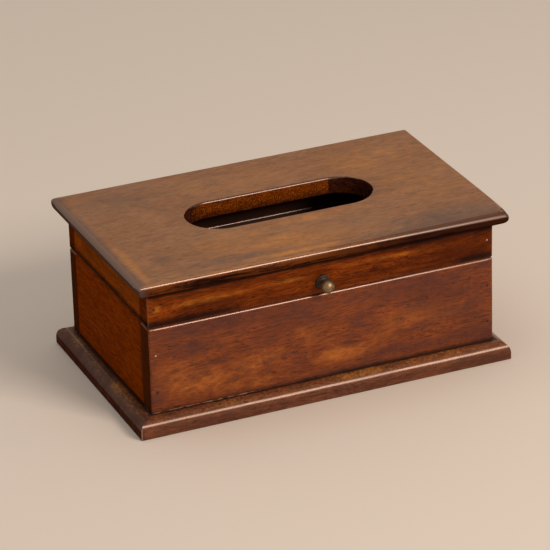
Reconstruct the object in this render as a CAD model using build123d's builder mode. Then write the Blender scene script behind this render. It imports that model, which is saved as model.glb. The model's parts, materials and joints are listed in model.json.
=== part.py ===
"""A wooden tissue box: four boards stand on a moulded base board and carry a hinged lid.

The lid is a moulded top board with a long round-ended slot, glued on a low frame of four rails.
The front and back boards run across the ends of the side boards, and so do the lid's rails.
The origin is under the middle of the walls, on the face that the box rests on. The front
faces -Y, the length runs along X and +Z is up. All sizes are in millimetres.
"""

import os
from math import radians, tan

from build123d import *

# ---- driving dimensions ----

# length and depth over the outer faces of the walls, and height over all
box_length = 260.0
box_depth = 151.0
box_height = 114.0
front_thickness = 14.5
back_thickness = 12.4
side_thickness = 12.0
rail_height = 23.9
seam_gap = 0.3  # between the wall tops and the closed lid
arris = 1.2  # rounding of the outer edges of walls and rails

# base board, with a rounded upper edge all round
base_thickness = 13.5
base_overhang = 10.0  # past the front and the back
base_end_overhang = 10.7
base_x = -1.3  # of its middle: the walls stand a little to the right on it
base_round = 8.0
base_arris = 1.0

# top board, its edge a nose with a round above and a slope with a larger round below
top_thickness = 12.7
top_overhang = 9.0
top_round = 3.0
nose_land = 0.7  # flat part of the nose
under_slope = 28.0  # degrees from the level underside

# slot that the tissues come out of
slot_length = 138.0
slot_width = 47.4
slot_x = 2.4
slot_y = 4.0
slot_arris = 1.0

# panel pins that nail the front and back to the ends of the sides
pin_radius = 0.7
pin_head_radius = 1.0
pin_head_thickness = 0.8
pin_length = 32.0
pin_point = 2.5
pin_inset = 4.6  # from the end of the board
box_pin_heights = (15.4, 43.2)  # above the base board
lid_pin_height = 14.0  # above the lower edge of the rails

# countersunk screws that hold the base board
base_screw_radius = 1.75
base_screw_head_radius = 3.5
base_screw_length = 30.0
base_screw_inset = 30.0  # of the end screws, from the ends of the front and the back

# pair of brass butt hinges at the back
hinge_inset = 50.0  # of the middle of each hinge, from the end of the box
leaf_length = 25.0
leaf_width = 9.0  # let into the wood
leaf_thickness = 1.0
knuckle_radius = 2.1
knuckle_count = 5
knuckle_gap = 0.2
barrel_clearance = 0.3  # between the barrel and the back
hinge_pin_radius = 0.9
hinge_pin_reach = 0.4  # past each end of the barrel
hinge_screw_radius = 1.1
hinge_screw_head_radius = 1.9
hinge_screw_length = 9.0
hinge_screw_spacing = 16.0
hinge_screw_inset = 5.0  # from the back of the box

# turned ball knob on the front rail of the lid
knob_x = -0.6
knob_height = 8.5  # above the lower edge of the rail
knob_ball_radius = 5.1
knob_ball_reach = 7.9  # from the rail to the middle of the ball
knob_neck_radius = 2.5
knob_foot_flare = 1.0  # of the neck, where it meets the flange
knob_root_flare = 0.4  # of the neck, where it meets the ball
knob_flange_radius = 5.3
knob_flange_thickness = 1.4
knob_thread_depth = 8.0
knob_screw_radius = 1.5
knob_screw_head_radius = 3.0
knob_screw_spare = 1.0  # between the screw's end and the bottom of its hole

# slot across every screw's head
drive_width = 0.5
drive_depth = 0.4

# clearances
seat_clearance = 0.05  # round a fastener, and round a leaf in its recess
pin_press = 0.02  # hinge pin in the knuckles that grip it
pin_running = 0.08  # hinge pin in the knuckles that turn on it

# ---- derived places ----

half_length = box_length / 2
half_depth = box_depth / 2
wall_height = box_height - base_thickness - seam_gap - rail_height - top_thickness
side_span = box_depth - front_thickness - back_thickness
front_y = -half_depth + front_thickness / 2
back_y = half_depth - back_thickness / 2
side_y = (front_thickness - back_thickness) / 2
side_x = half_length - side_thickness / 2
base_length_reach = half_length + base_end_overhang
base_depth_reach = half_depth + base_overhang
wall_top = base_thickness + wall_height
rail_base = wall_top + seam_gap
rail_top = rail_base + rail_height
hinge_y = half_depth + barrel_clearance + knuckle_radius
hinge_z = wall_top + seam_gap / 2
knuckle_pitch = leaf_length / knuckle_count
hinge_stations = {"left": hinge_inset - half_length, "right": half_length - hinge_inset}
knob_z = rail_base + knob_height
knob_screw_length = front_thickness + knob_thread_depth - knob_screw_spare
knob_screw_seat = Plane(
    origin=(knob_x, -half_depth + front_thickness, knob_z),
    x_dir=(1, 0, 0),
    z_dir=(0, 1, 0),
)

box_pin_levels = [base_thickness + height for height in box_pin_heights]
lid_pin_levels = [rail_base + lid_pin_height]

# heads of the base screws, flush in the underside: three in front, three at the back, one each side
base_screw_reach = half_length - base_screw_inset
base_screw_points = [(step * base_screw_reach, row) for step in (-1, 0, 1) for row in (front_y, back_y)]
base_screw_points += [(-side_x, side_y), (side_x, side_y)]
base_screw_places = [
    Plane(origin=(x, y, 0), x_dir=(1, 0, 0), z_dir=(0, 0, -1)) for x, y in base_screw_points
]

os.makedirs("parts", exist_ok=True)


# ---- shared shapes ----


def top_section(plane, half_walls):
    """Section of the top board across two walls, with its moulded edge at both ends."""
    reach = half_walls + top_overhang
    shoulder = top_overhang * tan(radians(under_slope))
    under_room = top_thickness - shoulder - nose_land - top_round
    under_round = under_room / tan(radians(90 - under_slope) / 2)
    with BuildSketch(plane) as section:
        with BuildLine():
            Polyline(
                (0, rail_top),
                (half_walls, rail_top),
                (reach, rail_top + shoulder),
                (reach, rail_top + top_thickness),
                (0, rail_top + top_thickness),
                close=True,
            )
        make_face()
        fillet(section.vertices().group_by(Axis.X)[-1].sort_by(Axis.Y)[0], radius=under_round)
        fillet(section.vertices().group_by(Axis.Y)[-1].sort_by(Axis.X)[-1], radius=top_round)
        mirror(about=Plane.YZ)
    return section.sketch


def base_section(plane, middle, reach):
    """Section of the base board about its middle, rounded above and eased below."""
    with BuildSketch(plane) as section:
        with Locations((middle, base_thickness / 2)):
            Rectangle(2 * reach, base_thickness)
        fillet(section.vertices().group_by(Axis.Y)[-1], radius=base_round)
        fillet(section.vertices().group_by(Axis.Y)[0], radius=base_arris)
    return section.sketch


def screw_shape(head_radius, shank_radius, length):
    """A slotted countersunk screw that hangs down from its flat head at z = 0."""
    cone = head_radius - shank_radius
    with BuildPart() as screw:
        with BuildSketch(Plane.XZ):
            with BuildLine():
                Polyline(
                    (0, 0),
                    (head_radius, 0),
                    (shank_radius, -cone),
                    (shank_radius, -length + 2 * shank_radius),
                    (0, -length),
                    close=True,
                )
            make_face()
        revolve(axis=Axis.Z)
        with BuildSketch():
            Rectangle(2 * head_radius, drive_width)
        extrude(amount=-drive_depth, mode=Mode.SUBTRACT)
    return screw.part


def pin_shape():
    """A panel pin that hangs down from its flat head at z = 0."""
    with BuildPart() as pin:
        with BuildSketch(Plane.XZ):
            with BuildLine():
                Polyline(
                    (0, 0),
                    (pin_head_radius, 0),
                    (pin_head_radius, -pin_head_thickness),
                    (pin_radius, -pin_head_thickness),
                    (pin_radius, -pin_length + pin_point),
                    (0, -pin_length),
                    close=True,
                )
            make_face()
        revolve(axis=Axis.Z)
    return pin.part


def pin_places(heights):
    """A plane at each panel pin's head, facing out of the front or the back."""
    places = []
    for z in heights:
        for x in (-half_length + pin_inset, half_length - pin_inset):
            places.append(Plane(origin=(x, -half_depth, z), x_dir=(1, 0, 0), z_dir=(0, -1, 0)))
            places.append(Plane(origin=(x, half_depth, z), x_dir=(1, 0, 0), z_dir=(0, 1, 0)))
    return places


def drill_pins(heights):
    """The holes of the panel pins, in whichever board is being made."""
    with Locations(*pin_places(heights)):
        CounterBoreHole(
            radius=pin_radius + seat_clearance,
            counter_bore_radius=pin_head_radius + seat_clearance,
            counter_bore_depth=pin_head_thickness,
            depth=pin_length,
        )


def drill_base_screws():
    """The countersunk holes of the base screws, drilled up from the underside."""
    with Locations(*base_screw_places):
        CounterSinkHole(
            radius=base_screw_radius + seat_clearance,
            counter_sink_radius=base_screw_head_radius + seat_clearance,
            depth=base_screw_length,
        )


def cut_leaf_recess(z, depth):
    """The recesses of both hinges in an edge at height z, cut by a depth up or down."""
    with BuildSketch(Plane.XY.offset(z)) as recesses:
        for x in hinge_stations.values():
            with Locations((x, half_depth - leaf_width / 2)):
                Rectangle(leaf_length + 2 * seat_clearance, leaf_width + 2 * seat_clearance)
    extrude(recesses.sketch, amount=depth, mode=Mode.SUBTRACT)


def hinge_screw_places(z, facing):
    """A plane at each hinge screw's head, facing up (1) or down (-1)."""
    return [
        Plane(
            origin=(x + side * hinge_screw_spacing / 2, half_depth - hinge_screw_inset, z),
            x_dir=(1, 0, 0),
            z_dir=(0, 0, facing),
        )
        for x in hinge_stations.values()
        for side in (-1, 1)
    ]


def drill_hinge_screws(z, facing):
    """The countersunk holes of the hinge screws, in whichever piece is being made."""
    with Locations(*hinge_screw_places(z, facing)):
        CounterSinkHole(
            radius=hinge_screw_radius + seat_clearance,
            counter_sink_radius=hinge_screw_head_radius + seat_clearance,
            depth=hinge_screw_length,
        )


def leaf_shape(x, face_z, side, knuckles, bore_radius):
    """A hinge leaf with its own knuckles: side is -1 below the seam and 1 above it."""
    with BuildPart() as leaf:
        with BuildSketch(Plane.XY.offset(face_z)):
            with Locations((x, half_depth - leaf_width / 2)):
                Rectangle(leaf_length, leaf_width)
            for place in knuckles:
                with Locations((x + place, (half_depth + hinge_y) / 2)):
                    Rectangle(knuckle_pitch - knuckle_gap, hinge_y - half_depth)
        extrude(amount=side * leaf_thickness)
        for place in knuckles:
            with BuildSketch(Plane.YZ.offset(x + place)):
                with Locations((hinge_y, hinge_z)):
                    Circle(knuckle_radius)
            extrude(amount=(knuckle_pitch - knuckle_gap) / 2, both=True)
        with BuildSketch(Plane.YZ.offset(x)):
            with Locations((hinge_y, hinge_z)):
                Circle(bore_radius)
        extrude(amount=leaf_length, both=True, mode=Mode.SUBTRACT)
        drill_hinge_screws(face_z, -side)
    return leaf.part


# ---- base board ----

with BuildPart() as base_board:
    extrude(
        base_section(Plane.YZ, 0, base_depth_reach),
        amount=base_length_reach + abs(base_x),
        both=True,
    )
    extrude(
        base_section(Plane.XZ, base_x, base_length_reach),
        amount=base_depth_reach,
        both=True,
        mode=Mode.INTERSECT,
    )
    drill_base_screws()
base_board.part.label = "base_board"
export_step(base_board.part, "parts/base_board.step")

# ---- walls of the box ----

with BuildPart() as front_board:
    with BuildSketch(Plane.XY.offset(base_thickness)):
        with Locations((0, front_y)):
            Rectangle(box_length, front_thickness)
    extrude(amount=wall_height)
    outer_edges = front_board.faces().sort_by(Axis.Y)[0].edges().sort_by(Axis.Z)[1:]
    end_edges = front_board.faces().sort_by(Axis.Z)[-1].edges().filter_by(Axis.Y)
    fillet(outer_edges + end_edges, radius=arris)
    drill_base_screws()
    drill_pins(box_pin_levels)
front_board.part.label = "front_board"
export_step(front_board.part, "parts/front_board.step")

with BuildPart() as back_board:
    with BuildSketch(Plane.XY.offset(base_thickness)):
        with Locations((0, back_y)):
            Rectangle(box_length, back_thickness)
    extrude(amount=wall_height)
    outer_edges = back_board.faces().sort_by(Axis.Y)[-1].edges().sort_by(Axis.Z)[1:]
    end_edges = back_board.faces().sort_by(Axis.Z)[-1].edges().filter_by(Axis.Y)
    fillet(outer_edges + end_edges, radius=arris)
    cut_leaf_recess(wall_top, -leaf_thickness)
    drill_hinge_screws(wall_top, 1)
    drill_base_screws()
    drill_pins(box_pin_levels)
back_board.part.label = "back_board"
export_step(back_board.part, "parts/back_board.step")

for name, end in (("left_board", -1), ("right_board", 1)):
    with BuildPart() as side_board:
        with BuildSketch(Plane.XY.offset(base_thickness)):
            with Locations((end * side_x, side_y)):
                Rectangle(side_thickness, side_span)
        extrude(amount=wall_height)
        outer_face = side_board.faces().sort_by(Axis((0, 0, 0), (end, 0, 0)))[-1]
        fillet(outer_face.edges().sort_by(Axis.Z)[-1], radius=arris)
        drill_base_screws()
        drill_pins(box_pin_levels)
    side_board.part.label = name
    export_step(side_board.part, f"parts/{name}.step")

# ---- lid: four rails and the top board ----

with BuildPart() as lid_front_rail:
    with BuildSketch(Plane.XY.offset(rail_base)):
        with Locations((0, front_y)):
            Rectangle(box_length, front_thickness)
    extrude(amount=rail_height)
    outer_edges = lid_front_rail.faces().sort_by(Axis.Y)[0].edges().sort_by(Axis.Z)[:-1]
    end_edges = lid_front_rail.faces().sort_by(Axis.Z)[0].edges().filter_by(Axis.Y)
    fillet(outer_edges + end_edges, radius=arris)
    drill_pins(lid_pin_levels)
    with Locations(knob_screw_seat):
        CounterSinkHole(
            radius=knob_screw_radius + seat_clearance,
            counter_sink_radius=knob_screw_head_radius + seat_clearance,
            depth=front_thickness,
        )
lid_front_rail.part.label = "lid_front_rail"
export_step(lid_front_rail.part, "parts/lid_front_rail.step")

with BuildPart() as lid_back_rail:
    with BuildSketch(Plane.XY.offset(rail_base)):
        with Locations((0, back_y)):
            Rectangle(box_length, back_thickness)
    extrude(amount=rail_height)
    outer_edges = lid_back_rail.faces().sort_by(Axis.Y)[-1].edges().sort_by(Axis.Z)[:-1]
    end_edges = lid_back_rail.faces().sort_by(Axis.Z)[0].edges().filter_by(Axis.Y)
    fillet(outer_edges + end_edges, radius=arris)
    cut_leaf_recess(rail_base, leaf_thickness)
    drill_hinge_screws(rail_base, -1)
    drill_pins(lid_pin_levels)
lid_back_rail.part.label = "lid_back_rail"
export_step(lid_back_rail.part, "parts/lid_back_rail.step")

for name, end in (("lid_left_rail", -1), ("lid_right_rail", 1)):
    with BuildPart() as side_rail:
        with BuildSketch(Plane.XY.offset(rail_base)):
            with Locations((end * side_x, side_y)):
                Rectangle(side_thickness, side_span)
        extrude(amount=rail_height)
        outer_face = side_rail.faces().sort_by(Axis((0, 0, 0), (end, 0, 0)))[-1]
        fillet(outer_face.edges().sort_by(Axis.Z)[0], radius=arris)
        drill_pins(lid_pin_levels)
    side_rail.part.label = name
    export_step(side_rail.part, f"parts/{name}.step")

with BuildPart() as top_board:
    extrude(top_section(Plane.YZ, half_depth), amount=half_length + top_overhang, both=True)
    extrude(
        top_section(Plane.XZ, half_length),
        amount=half_depth + top_overhang,
        both=True,
        mode=Mode.INTERSECT,
    )
    with BuildSketch(Plane.XY.offset(rail_top + top_thickness)):
        with Locations((slot_x, slot_y)):
            SlotOverall(slot_length, slot_width)
    extrude(amount=-top_thickness, mode=Mode.SUBTRACT)
    slot_rim = top_board.faces().sort_by(Axis.Z)[-1].inner_wires()[0].edges()
    fillet(slot_rim, radius=slot_arris)
top_board.part.label = "top_board"
export_step(top_board.part, "parts/top_board.step")

# ---- nails and screws ----

with BuildPart() as box_pins:
    with Locations(*pin_places(box_pin_levels)):
        add(pin_shape())
box_pins.part.label = "box_pins"
export_step(box_pins.part, "parts/box_pins.step")

with BuildPart() as lid_pins:
    with Locations(*pin_places(lid_pin_levels)):
        add(pin_shape())
lid_pins.part.label = "lid_pins"
export_step(lid_pins.part, "parts/lid_pins.step")

with BuildPart() as base_screws:
    with Locations(*base_screw_places):
        add(screw_shape(base_screw_head_radius, base_screw_radius, base_screw_length))
base_screws.part.label = "base_screws"
export_step(base_screws.part, "parts/base_screws.step")

with BuildPart() as hinge_box_screws:
    with Locations(*hinge_screw_places(wall_top, 1)):
        add(screw_shape(hinge_screw_head_radius, hinge_screw_radius, hinge_screw_length))
hinge_box_screws.part.label = "hinge_box_screws"
export_step(hinge_box_screws.part, "parts/hinge_box_screws.step")

with BuildPart() as hinge_lid_screws:
    with Locations(*hinge_screw_places(rail_base, -1)):
        add(screw_shape(hinge_screw_head_radius, hinge_screw_radius, hinge_screw_length))
hinge_lid_screws.part.label = "hinge_lid_screws"
export_step(hinge_lid_screws.part, "parts/hinge_lid_screws.step")

# ---- hinges ----

knuckle_places = [(step - (knuckle_count - 1) / 2) * knuckle_pitch for step in range(knuckle_count)]

for side, x in hinge_stations.items():
    box_leaf = leaf_shape(x, wall_top, -1, knuckle_places[0::2], hinge_pin_radius + pin_press)
    box_leaf.label = f"{side}_hinge_box_leaf"
    export_step(box_leaf, f"parts/{side}_hinge_box_leaf.step")

    lid_leaf = leaf_shape(x, rail_base, 1, knuckle_places[1::2], hinge_pin_radius + pin_running)
    lid_leaf.label = f"{side}_hinge_lid_leaf"
    export_step(lid_leaf, f"parts/{side}_hinge_lid_leaf.step")

    with BuildPart() as hinge_pin:
        with BuildSketch(Plane.YZ.offset(x)):
            with Locations((hinge_y, hinge_z)):
                Circle(hinge_pin_radius)
        extrude(amount=leaf_length / 2 + hinge_pin_reach, both=True)
        pin_ends = hinge_pin.edges().filter_by(GeomType.CIRCLE)
        chamfer(pin_ends, length=hinge_pin_reach / 2)
    hinge_pin.part.label = f"{side}_hinge_pin"
    export_step(hinge_pin.part, f"parts/{side}_hinge_pin.step")

# ---- knob and its screw ----

knob_level = Plane(origin=(knob_x, -half_depth, knob_z), x_dir=(1, 0, 0), z_dir=(0, 0, 1))
knob_seat = Plane(origin=(knob_x, -half_depth, knob_z), x_dir=(1, 0, 0), z_dir=(0, 1, 0))
ball_root_radius = knob_neck_radius + knob_root_flare
ball_root = knob_ball_reach - (knob_ball_radius**2 - ball_root_radius**2) ** 0.5

with BuildPart() as knob:
    with BuildSketch(knob_level) as half_section:
        with BuildLine():
            flange = Polyline(
                (0, 0),
                (knob_flange_radius, 0),
                (knob_flange_radius, -knob_flange_thickness),
                (knob_neck_radius + knob_foot_flare, -knob_flange_thickness),
            )
            neck = ThreePointArc(
                flange @ 1,
                (knob_neck_radius, -(knob_flange_thickness + ball_root) / 2),
                (ball_root_radius, -ball_root),
            )
            ball = ThreePointArc(
                neck @ 1,
                (knob_ball_radius, -knob_ball_reach),
                (0, -knob_ball_reach - knob_ball_radius),
            )
            Line(ball @ 1, flange @ 0)
        make_face()
        flange_rim = half_section.vertices().group_by(Axis.X)[-1].sort_by(Axis.Y)[0]
        fillet(flange_rim, radius=knob_flange_thickness / 2)
    revolve(axis=Axis(knob_seat.origin, (0, 1, 0)))
    with Locations(knob_seat):
        Hole(radius=knob_screw_radius + seat_clearance, depth=knob_thread_depth)
knob.part.label = "knob"
export_step(knob.part, "parts/knob.step")

with BuildPart() as knob_screw:
    with Locations(knob_screw_seat):
        add(screw_shape(knob_screw_head_radius, knob_screw_radius, knob_screw_length))
knob_screw.part.label = "knob_screw"
export_step(knob_screw.part, "parts/knob_screw.step")
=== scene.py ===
"""Finishes and details of a wooden tissue box with a hinged lid, laid out as an add-on.

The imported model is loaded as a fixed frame. Each operator makes one piece, or one group of like
pieces, and hangs it on the frame. Lengths are in metres, the front faces -Y and +Z is up.
"""

import json
from math import cos, pi, radians, sin

import bmesh
import bpy
from bpy.props import FloatProperty, FloatVectorProperty, IntProperty, PointerProperty
from mathutils import Matrix, Vector, noise


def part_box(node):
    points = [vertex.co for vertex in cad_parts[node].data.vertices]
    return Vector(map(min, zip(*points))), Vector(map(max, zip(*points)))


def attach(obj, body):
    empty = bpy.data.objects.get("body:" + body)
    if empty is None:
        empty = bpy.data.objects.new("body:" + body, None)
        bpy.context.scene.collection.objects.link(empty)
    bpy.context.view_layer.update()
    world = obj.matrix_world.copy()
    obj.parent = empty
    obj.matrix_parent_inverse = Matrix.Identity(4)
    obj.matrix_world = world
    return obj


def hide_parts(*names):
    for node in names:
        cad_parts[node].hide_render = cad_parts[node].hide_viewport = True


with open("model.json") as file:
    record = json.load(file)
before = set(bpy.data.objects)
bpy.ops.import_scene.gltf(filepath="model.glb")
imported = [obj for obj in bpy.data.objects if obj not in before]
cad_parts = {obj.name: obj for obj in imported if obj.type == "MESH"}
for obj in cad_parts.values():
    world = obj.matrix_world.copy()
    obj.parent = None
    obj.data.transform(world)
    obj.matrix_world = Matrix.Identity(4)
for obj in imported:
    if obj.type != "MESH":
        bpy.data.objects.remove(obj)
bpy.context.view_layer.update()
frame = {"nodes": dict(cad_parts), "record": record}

bl_info = {
    "name": "Wooden tissue box",
    "version": (1, 0, 0),
    "blender": (4, 5, 0),
    "location": "View3D > Sidebar > Tissue box",
    "description": "Stained wood, brass and steel finishes for a tissue box with a hinged lid",
    "category": "Object",
}

MM = 0.001


# ---- settings ----


def colour(name, description, default):
    """A colour that a user can change."""
    return FloatVectorProperty(
        name=name,
        description=description,
        subtype="COLOR",
        size=3,
        min=0.0,
        max=1.0,
        default=default,
    )


def length(name, description, default):
    """A length that a user can change."""
    return FloatProperty(name=name, description=description, unit="LENGTH", default=default)


def fraction(name, description, default, low=0.0):
    """A share up to 1 that a user can change."""
    return FloatProperty(name=name, description=description, min=low, max=1.0, default=default)


def rotation(name, description, degrees):
    """An angle that a user can change."""
    return FloatProperty(name=name, description=description, unit="ROTATION", default=radians(degrees))


def power(name, description, default):
    """A lamp's power that a user can change."""
    return FloatProperty(name=name, description=description, unit="POWER", default=default)


class TissueBoxFinishes(bpy.types.PropertyGroup):
    """Colours of the stained woods and the metals."""

    top_light: colour("Top, light", "Pale streaks of the top board", (0.296, 0.120, 0.040))
    top_dark: colour("Top, dark", "Dark streaks of the top board", (0.156, 0.064, 0.026))
    # top_cool also paints a dull reflection on the top's rounded left edge and shade on its front right round
    top_cool: colour("Top, cool", "Cool smudges of the top board", (0.086, 0.046, 0.036))
    nose_light: colour("Nose, light", "Golden streaks of the top's front edge", (0.165, 0.043, 0.008))
    # nose_dark is painted shade on the nose towards the front right; in the slot it darkens the end grain,
    # the lower wall and the lip
    nose_dark: colour("Nose, dark", "Dark stain round the front right of the top", (0.016, 0.0045, 0.0035))
    wall_light: colour("Walls, light", "Pale patches of the walls", (0.270, 0.060, 0.010))
    wall_dark: colour("Walls, dark", "Dark patches of the walls", (0.075, 0.015, 0.005))
    wall_cool: colour("Walls, cool", "Purplish clouds in the walls", (0.080, 0.022, 0.014))
    wall_pale: colour("Walls, pale", "Orange patches of the walls", (0.400, 0.112, 0.016))
    side_light: colour("Sides, light", "Pale patches of the side boards", (0.250, 0.046, 0.003))
    side_dark: colour("Sides, dark", "Dark patches of the side boards", (0.130, 0.020, 0.001))
    end_grain: colour("End grain", "Stained end grain of the boards", (0.040, 0.010, 0.002))
    rail_light: colour("Rails, light", "Pale streaks of the lid rails", (0.270, 0.050, 0.002))
    rail_dark: colour("Rails, dark", "Dark streaks of the lid rails", (0.045, 0.007, 0.001))
    base_light: colour("Base, light", "Pale patches of the base board", (0.190, 0.058, 0.022))
    base_dark: colour("Base, dark", "Dark patches of the base board", (0.062, 0.018, 0.009))
    # painted shade on the base's left side
    base_left_shade: colour("Base, cool", "Purplish wood of the base's left side", (0.040, 0.015, 0.012))
    golden: colour("Golden", "Wood where the stain was rubbed through", (0.460, 0.170, 0.022))
    # this colour is painted shade under the top's nose, on the rails and in the seam, darkens the walls' foot
    # and the base by the walls, and stains the pin heads
    stain: colour("Pooled stain", "Stain that gathered in corners", (0.008, 0.003, 0.002))
    inside: colour("Inside", "Stained inner faces of the box", (0.050, 0.021, 0.013))
    # also a painted highlight up the base's front left corner and along the front wall's foot
    flake_glint: colour("Bare flakes", "Chipped lacquer at joints and corners", (0.420, 0.240, 0.180))
    top_gloss: fraction("Top gloss", "Strength of the top's sheen", 0.42)
    wall_gloss: fraction("Wall gloss", "Strength of the front's sheen", 0.25)
    rail_gloss: fraction("Rail gloss", "Strength of the front rail's sheen", 0.06)
    base_gloss: fraction("Base gloss", "Strength of the base's sheen", 0.22)
    edge_tint: colour("Edge tint", "Tint of the sheen on rounded edges", (1.0, 0.74, 0.62))
    brass: colour("Brass", "Bright brass where it is rubbed", (0.52, 0.38, 0.19))
    patina: colour("Patina", "Dark olive patina of the brass", (0.085, 0.062, 0.034))
    knob: colour("Knob", "Brass of the ball where hands rubbed it", (0.27, 0.175, 0.095))
    # patina together with painted shade behind the ball
    knob_dark_shade: colour("Knob, dark", "Blackened flange and root of the knob", (0.040, 0.032, 0.029))
    # pale pink that stands in for a glint on bare steel
    pin_bare_glint: colour("Bare pins", "Pin heads where the stain came off", (0.66, 0.42, 0.32))
    steel: colour("Steel", "Heads of the pins and screws", (0.46, 0.38, 0.32))
    lacquer_roughness: fraction("Lacquer roughness", "How far the lacquer blurs reflections", 0.5, 0.05)
    edge_roughness: fraction("Edge roughness", "As above, on rounded edges", 0.21, 0.05)


class TissueBoxShapes(bpy.types.PropertyGroup):
    """Sizes of details that the frame doesn't give."""

    cut_length: length("Cut", "Spacing of the cuts across a board", 5 * MM)
    hand_waviness: length("Waviness", "How deep hand work left the faces uneven", 0.16 * MM)
    edge_waviness: length("Edge wear", "How deep the eased edges are worn", 0.22 * MM)
    corner_round: length("Corner", "Rounding of the moulded corners in plan", 1.4 * MM)
    worn_corner: length("Worn corner", "Further rounding in plan at the front right", 1.2 * MM)
    wall_arris: length("Walls' inner edge", "Rounding of the walls' inner upper edges", 2.2 * MM)
    seam_arris: length("Seam edge", "Rounding of the front board's upper edge", 2.0 * MM)
    rail_arris: length("Rails' inner edge", "Rounding of the rails' inner lower edges", 0.9 * MM)
    front_round_left: length("Front round, left", "Upper rounding at the front left", 2.8 * MM)
    front_round_right: length("Front round, right", "Upper rounding at the front right", 6.6 * MM)
    side_round: length("Side round", "Upper rounding at the left side", 4.2 * MM)
    back_round: length("Back round", "Upper rounding at the back and the right side", 2.4 * MM)
    nose_top: length("Nose top", "Depth of the nose's upper rounding", 3.0 * MM)
    nose_land: length("Nose land", "Height of the nose's flat", 0.7 * MM)
    under_slope: rotation("Under slope", "Slope under the nose", 28)
    base_skew: length("Base skew", "How far the base's left side leans in at the back", 1.6 * MM)
    pin_depth: length("Pin depth", "How far the pins are sunk", 0.2 * MM)
    knob_sides: IntProperty(name="Knob sides", description="Steps around the knob", default=72, min=12)


class TissueBoxStage(bpy.types.PropertyGroup):
    """Camera, floor and lamps."""

    camera_place: FloatVectorProperty(
        name="Camera",
        description="Where the camera stands",
        subtype="TRANSLATION",
        unit="LENGTH",
        default=(-0.8991, -2.1206, 1.1307),
    )
    camera_yaw: rotation("Yaw", "Turn to the right", 22.8835)
    camera_pitch: rotation("Pitch", "Tilt upwards", -24.9372)
    camera_roll: rotation("Roll", "Turn about the line of sight", -1.7022)
    camera_lens: FloatProperty(name="Lens", description="Focal length", unit="CAMERA", default=235.174)
    floor_colour: colour("Floor", "Plain pale floor", (0.72, 0.62, 0.53))
    backdrop_colour: colour("Backdrop", "What stands behind, seen and mirrored", (0.74, 0.61, 0.48))
    ambient: FloatProperty(name="Ambient", description="Light from all round", default=0.38)
    key_power: power("Key lamp", "Power of the front lamp", 50.0)
    fill_power: power("Fill lamp", "Power of the upper lamp", 12.0)


# ---- node trees ----


class Graph:
    """A node tree, with a short call for each node that it gets."""

    def __init__(self, tree):
        self.tree = tree

    def node(self, kind, inputs=None, **settings):
        """A node of a kind, with its settings, and its inputs by name or number."""
        made = self.tree.nodes.new(kind)
        for key, value in settings.items():
            setattr(made, key, value)
        for key, value in (inputs or {}).items():
            self.put(made.inputs[key], value)
        return made

    def put(self, socket, value):
        """Joins a socket to another, or gives it a plain value."""
        if isinstance(value, bpy.types.NodeSocket):
            self.tree.links.new(value, socket)
        else:
            socket.default_value = value

    def maths(self, operation, *values, clamp=False):
        """One sum on numbers."""
        made = self.node("ShaderNodeMath", dict(enumerate(values)), operation=operation, use_clamp=clamp)
        return made.outputs[0]

    def plus(self, first, second):
        """The sum of two numbers."""
        return self.maths("ADD", first, second)

    def less(self, first, second):
        """One number less another."""
        return self.maths("SUBTRACT", first, second)

    def times(self, first, second, clamp=False):
        """The product of two numbers."""
        return self.maths("MULTIPLY", first, second, clamp=clamp)

    def most(self, first, second):
        """The larger of two numbers."""
        return self.maths("MAXIMUM", first, second)

    def vector(self, x=0.0, y=0.0, z=0.0):
        """A vector from its parts."""
        return self.node("ShaderNodeCombineXYZ", {0: x, 1: y, 2: z}).outputs[0]

    def moved(self, vector, by):
        """A vector plus another."""
        return self.node("ShaderNodeVectorMath", {0: vector, 1: by}, operation="ADD").outputs[0]

    def parts(self, vector):
        """The three parts of a vector."""
        return list(self.node("ShaderNodeSeparateXYZ", {0: vector}).outputs)


class Shape(Graph):
    """A geometry tree with named inputs, that ends in plain mesh of one material."""

    def __init__(self, name, **inputs):
        super().__init__(bpy.data.node_groups.new(name, "GeometryNodeTree"))
        interface = self.tree.interface
        interface.new_socket("Geometry", in_out="INPUT", socket_type="NodeSocketGeometry")
        interface.new_socket("Geometry", in_out="OUTPUT", socket_type="NodeSocketGeometry")
        for label, kind in inputs.items():
            interface.new_socket(label, in_out="INPUT", socket_type=kind)
        interface.new_socket("Material", in_out="INPUT", socket_type="NodeSocketMaterial")
        self.given = self.node("NodeGroupInput").outputs

    def cone(self, top, bottom, depth):
        """A cone with the tree's number of sides."""
        inputs = {"Vertices": self.given["Sides"], "Radius Top": top, "Radius Bottom": bottom, "Depth": depth}
        return self.node("GeometryNodeMeshCone", inputs).outputs["Mesh"]

    def raised(self, geometry, height):
        """Geometry moved up by a height."""
        inputs = {"Geometry": geometry, "Translation": self.vector(z=height)}
        return self.node("GeometryNodeTransform", inputs).outputs[0]

    def joined(self, kind, socket, pieces, **settings):
        """What a node of a kind makes of several pieces on one of its sockets."""
        made = self.node(kind, **settings)
        for piece in pieces:
            self.tree.links.new(piece, made.inputs[socket])
        return made.outputs[0]

    def close(self, geometry):
        """Ends the tree: real mesh instead of instances, and its material."""
        real = self.node("GeometryNodeRealizeInstances", {0: geometry})
        inputs = {"Geometry": real.outputs[0], "Material": self.given["Material"]}
        dressed = self.node("GeometryNodeSetMaterial", inputs)
        self.node("NodeGroupOutput", {"Geometry": dressed.outputs[0]})

    def make(self, name, mesh, material, **values):
        """A piece with the plain mesh that the tree makes from a mesh and the inputs' values."""
        piece = new_piece(name, mesh, material)
        modifier = piece.modifiers.new(name, "NODES")
        modifier.node_group = self.tree
        values["Material"] = material
        for item in self.tree.interface.items_tree:
            if item.in_out == "INPUT" and item.name in values:
                modifier[item.identifier] = values[item.name]
        bake_modifiers(piece)
        return piece


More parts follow.
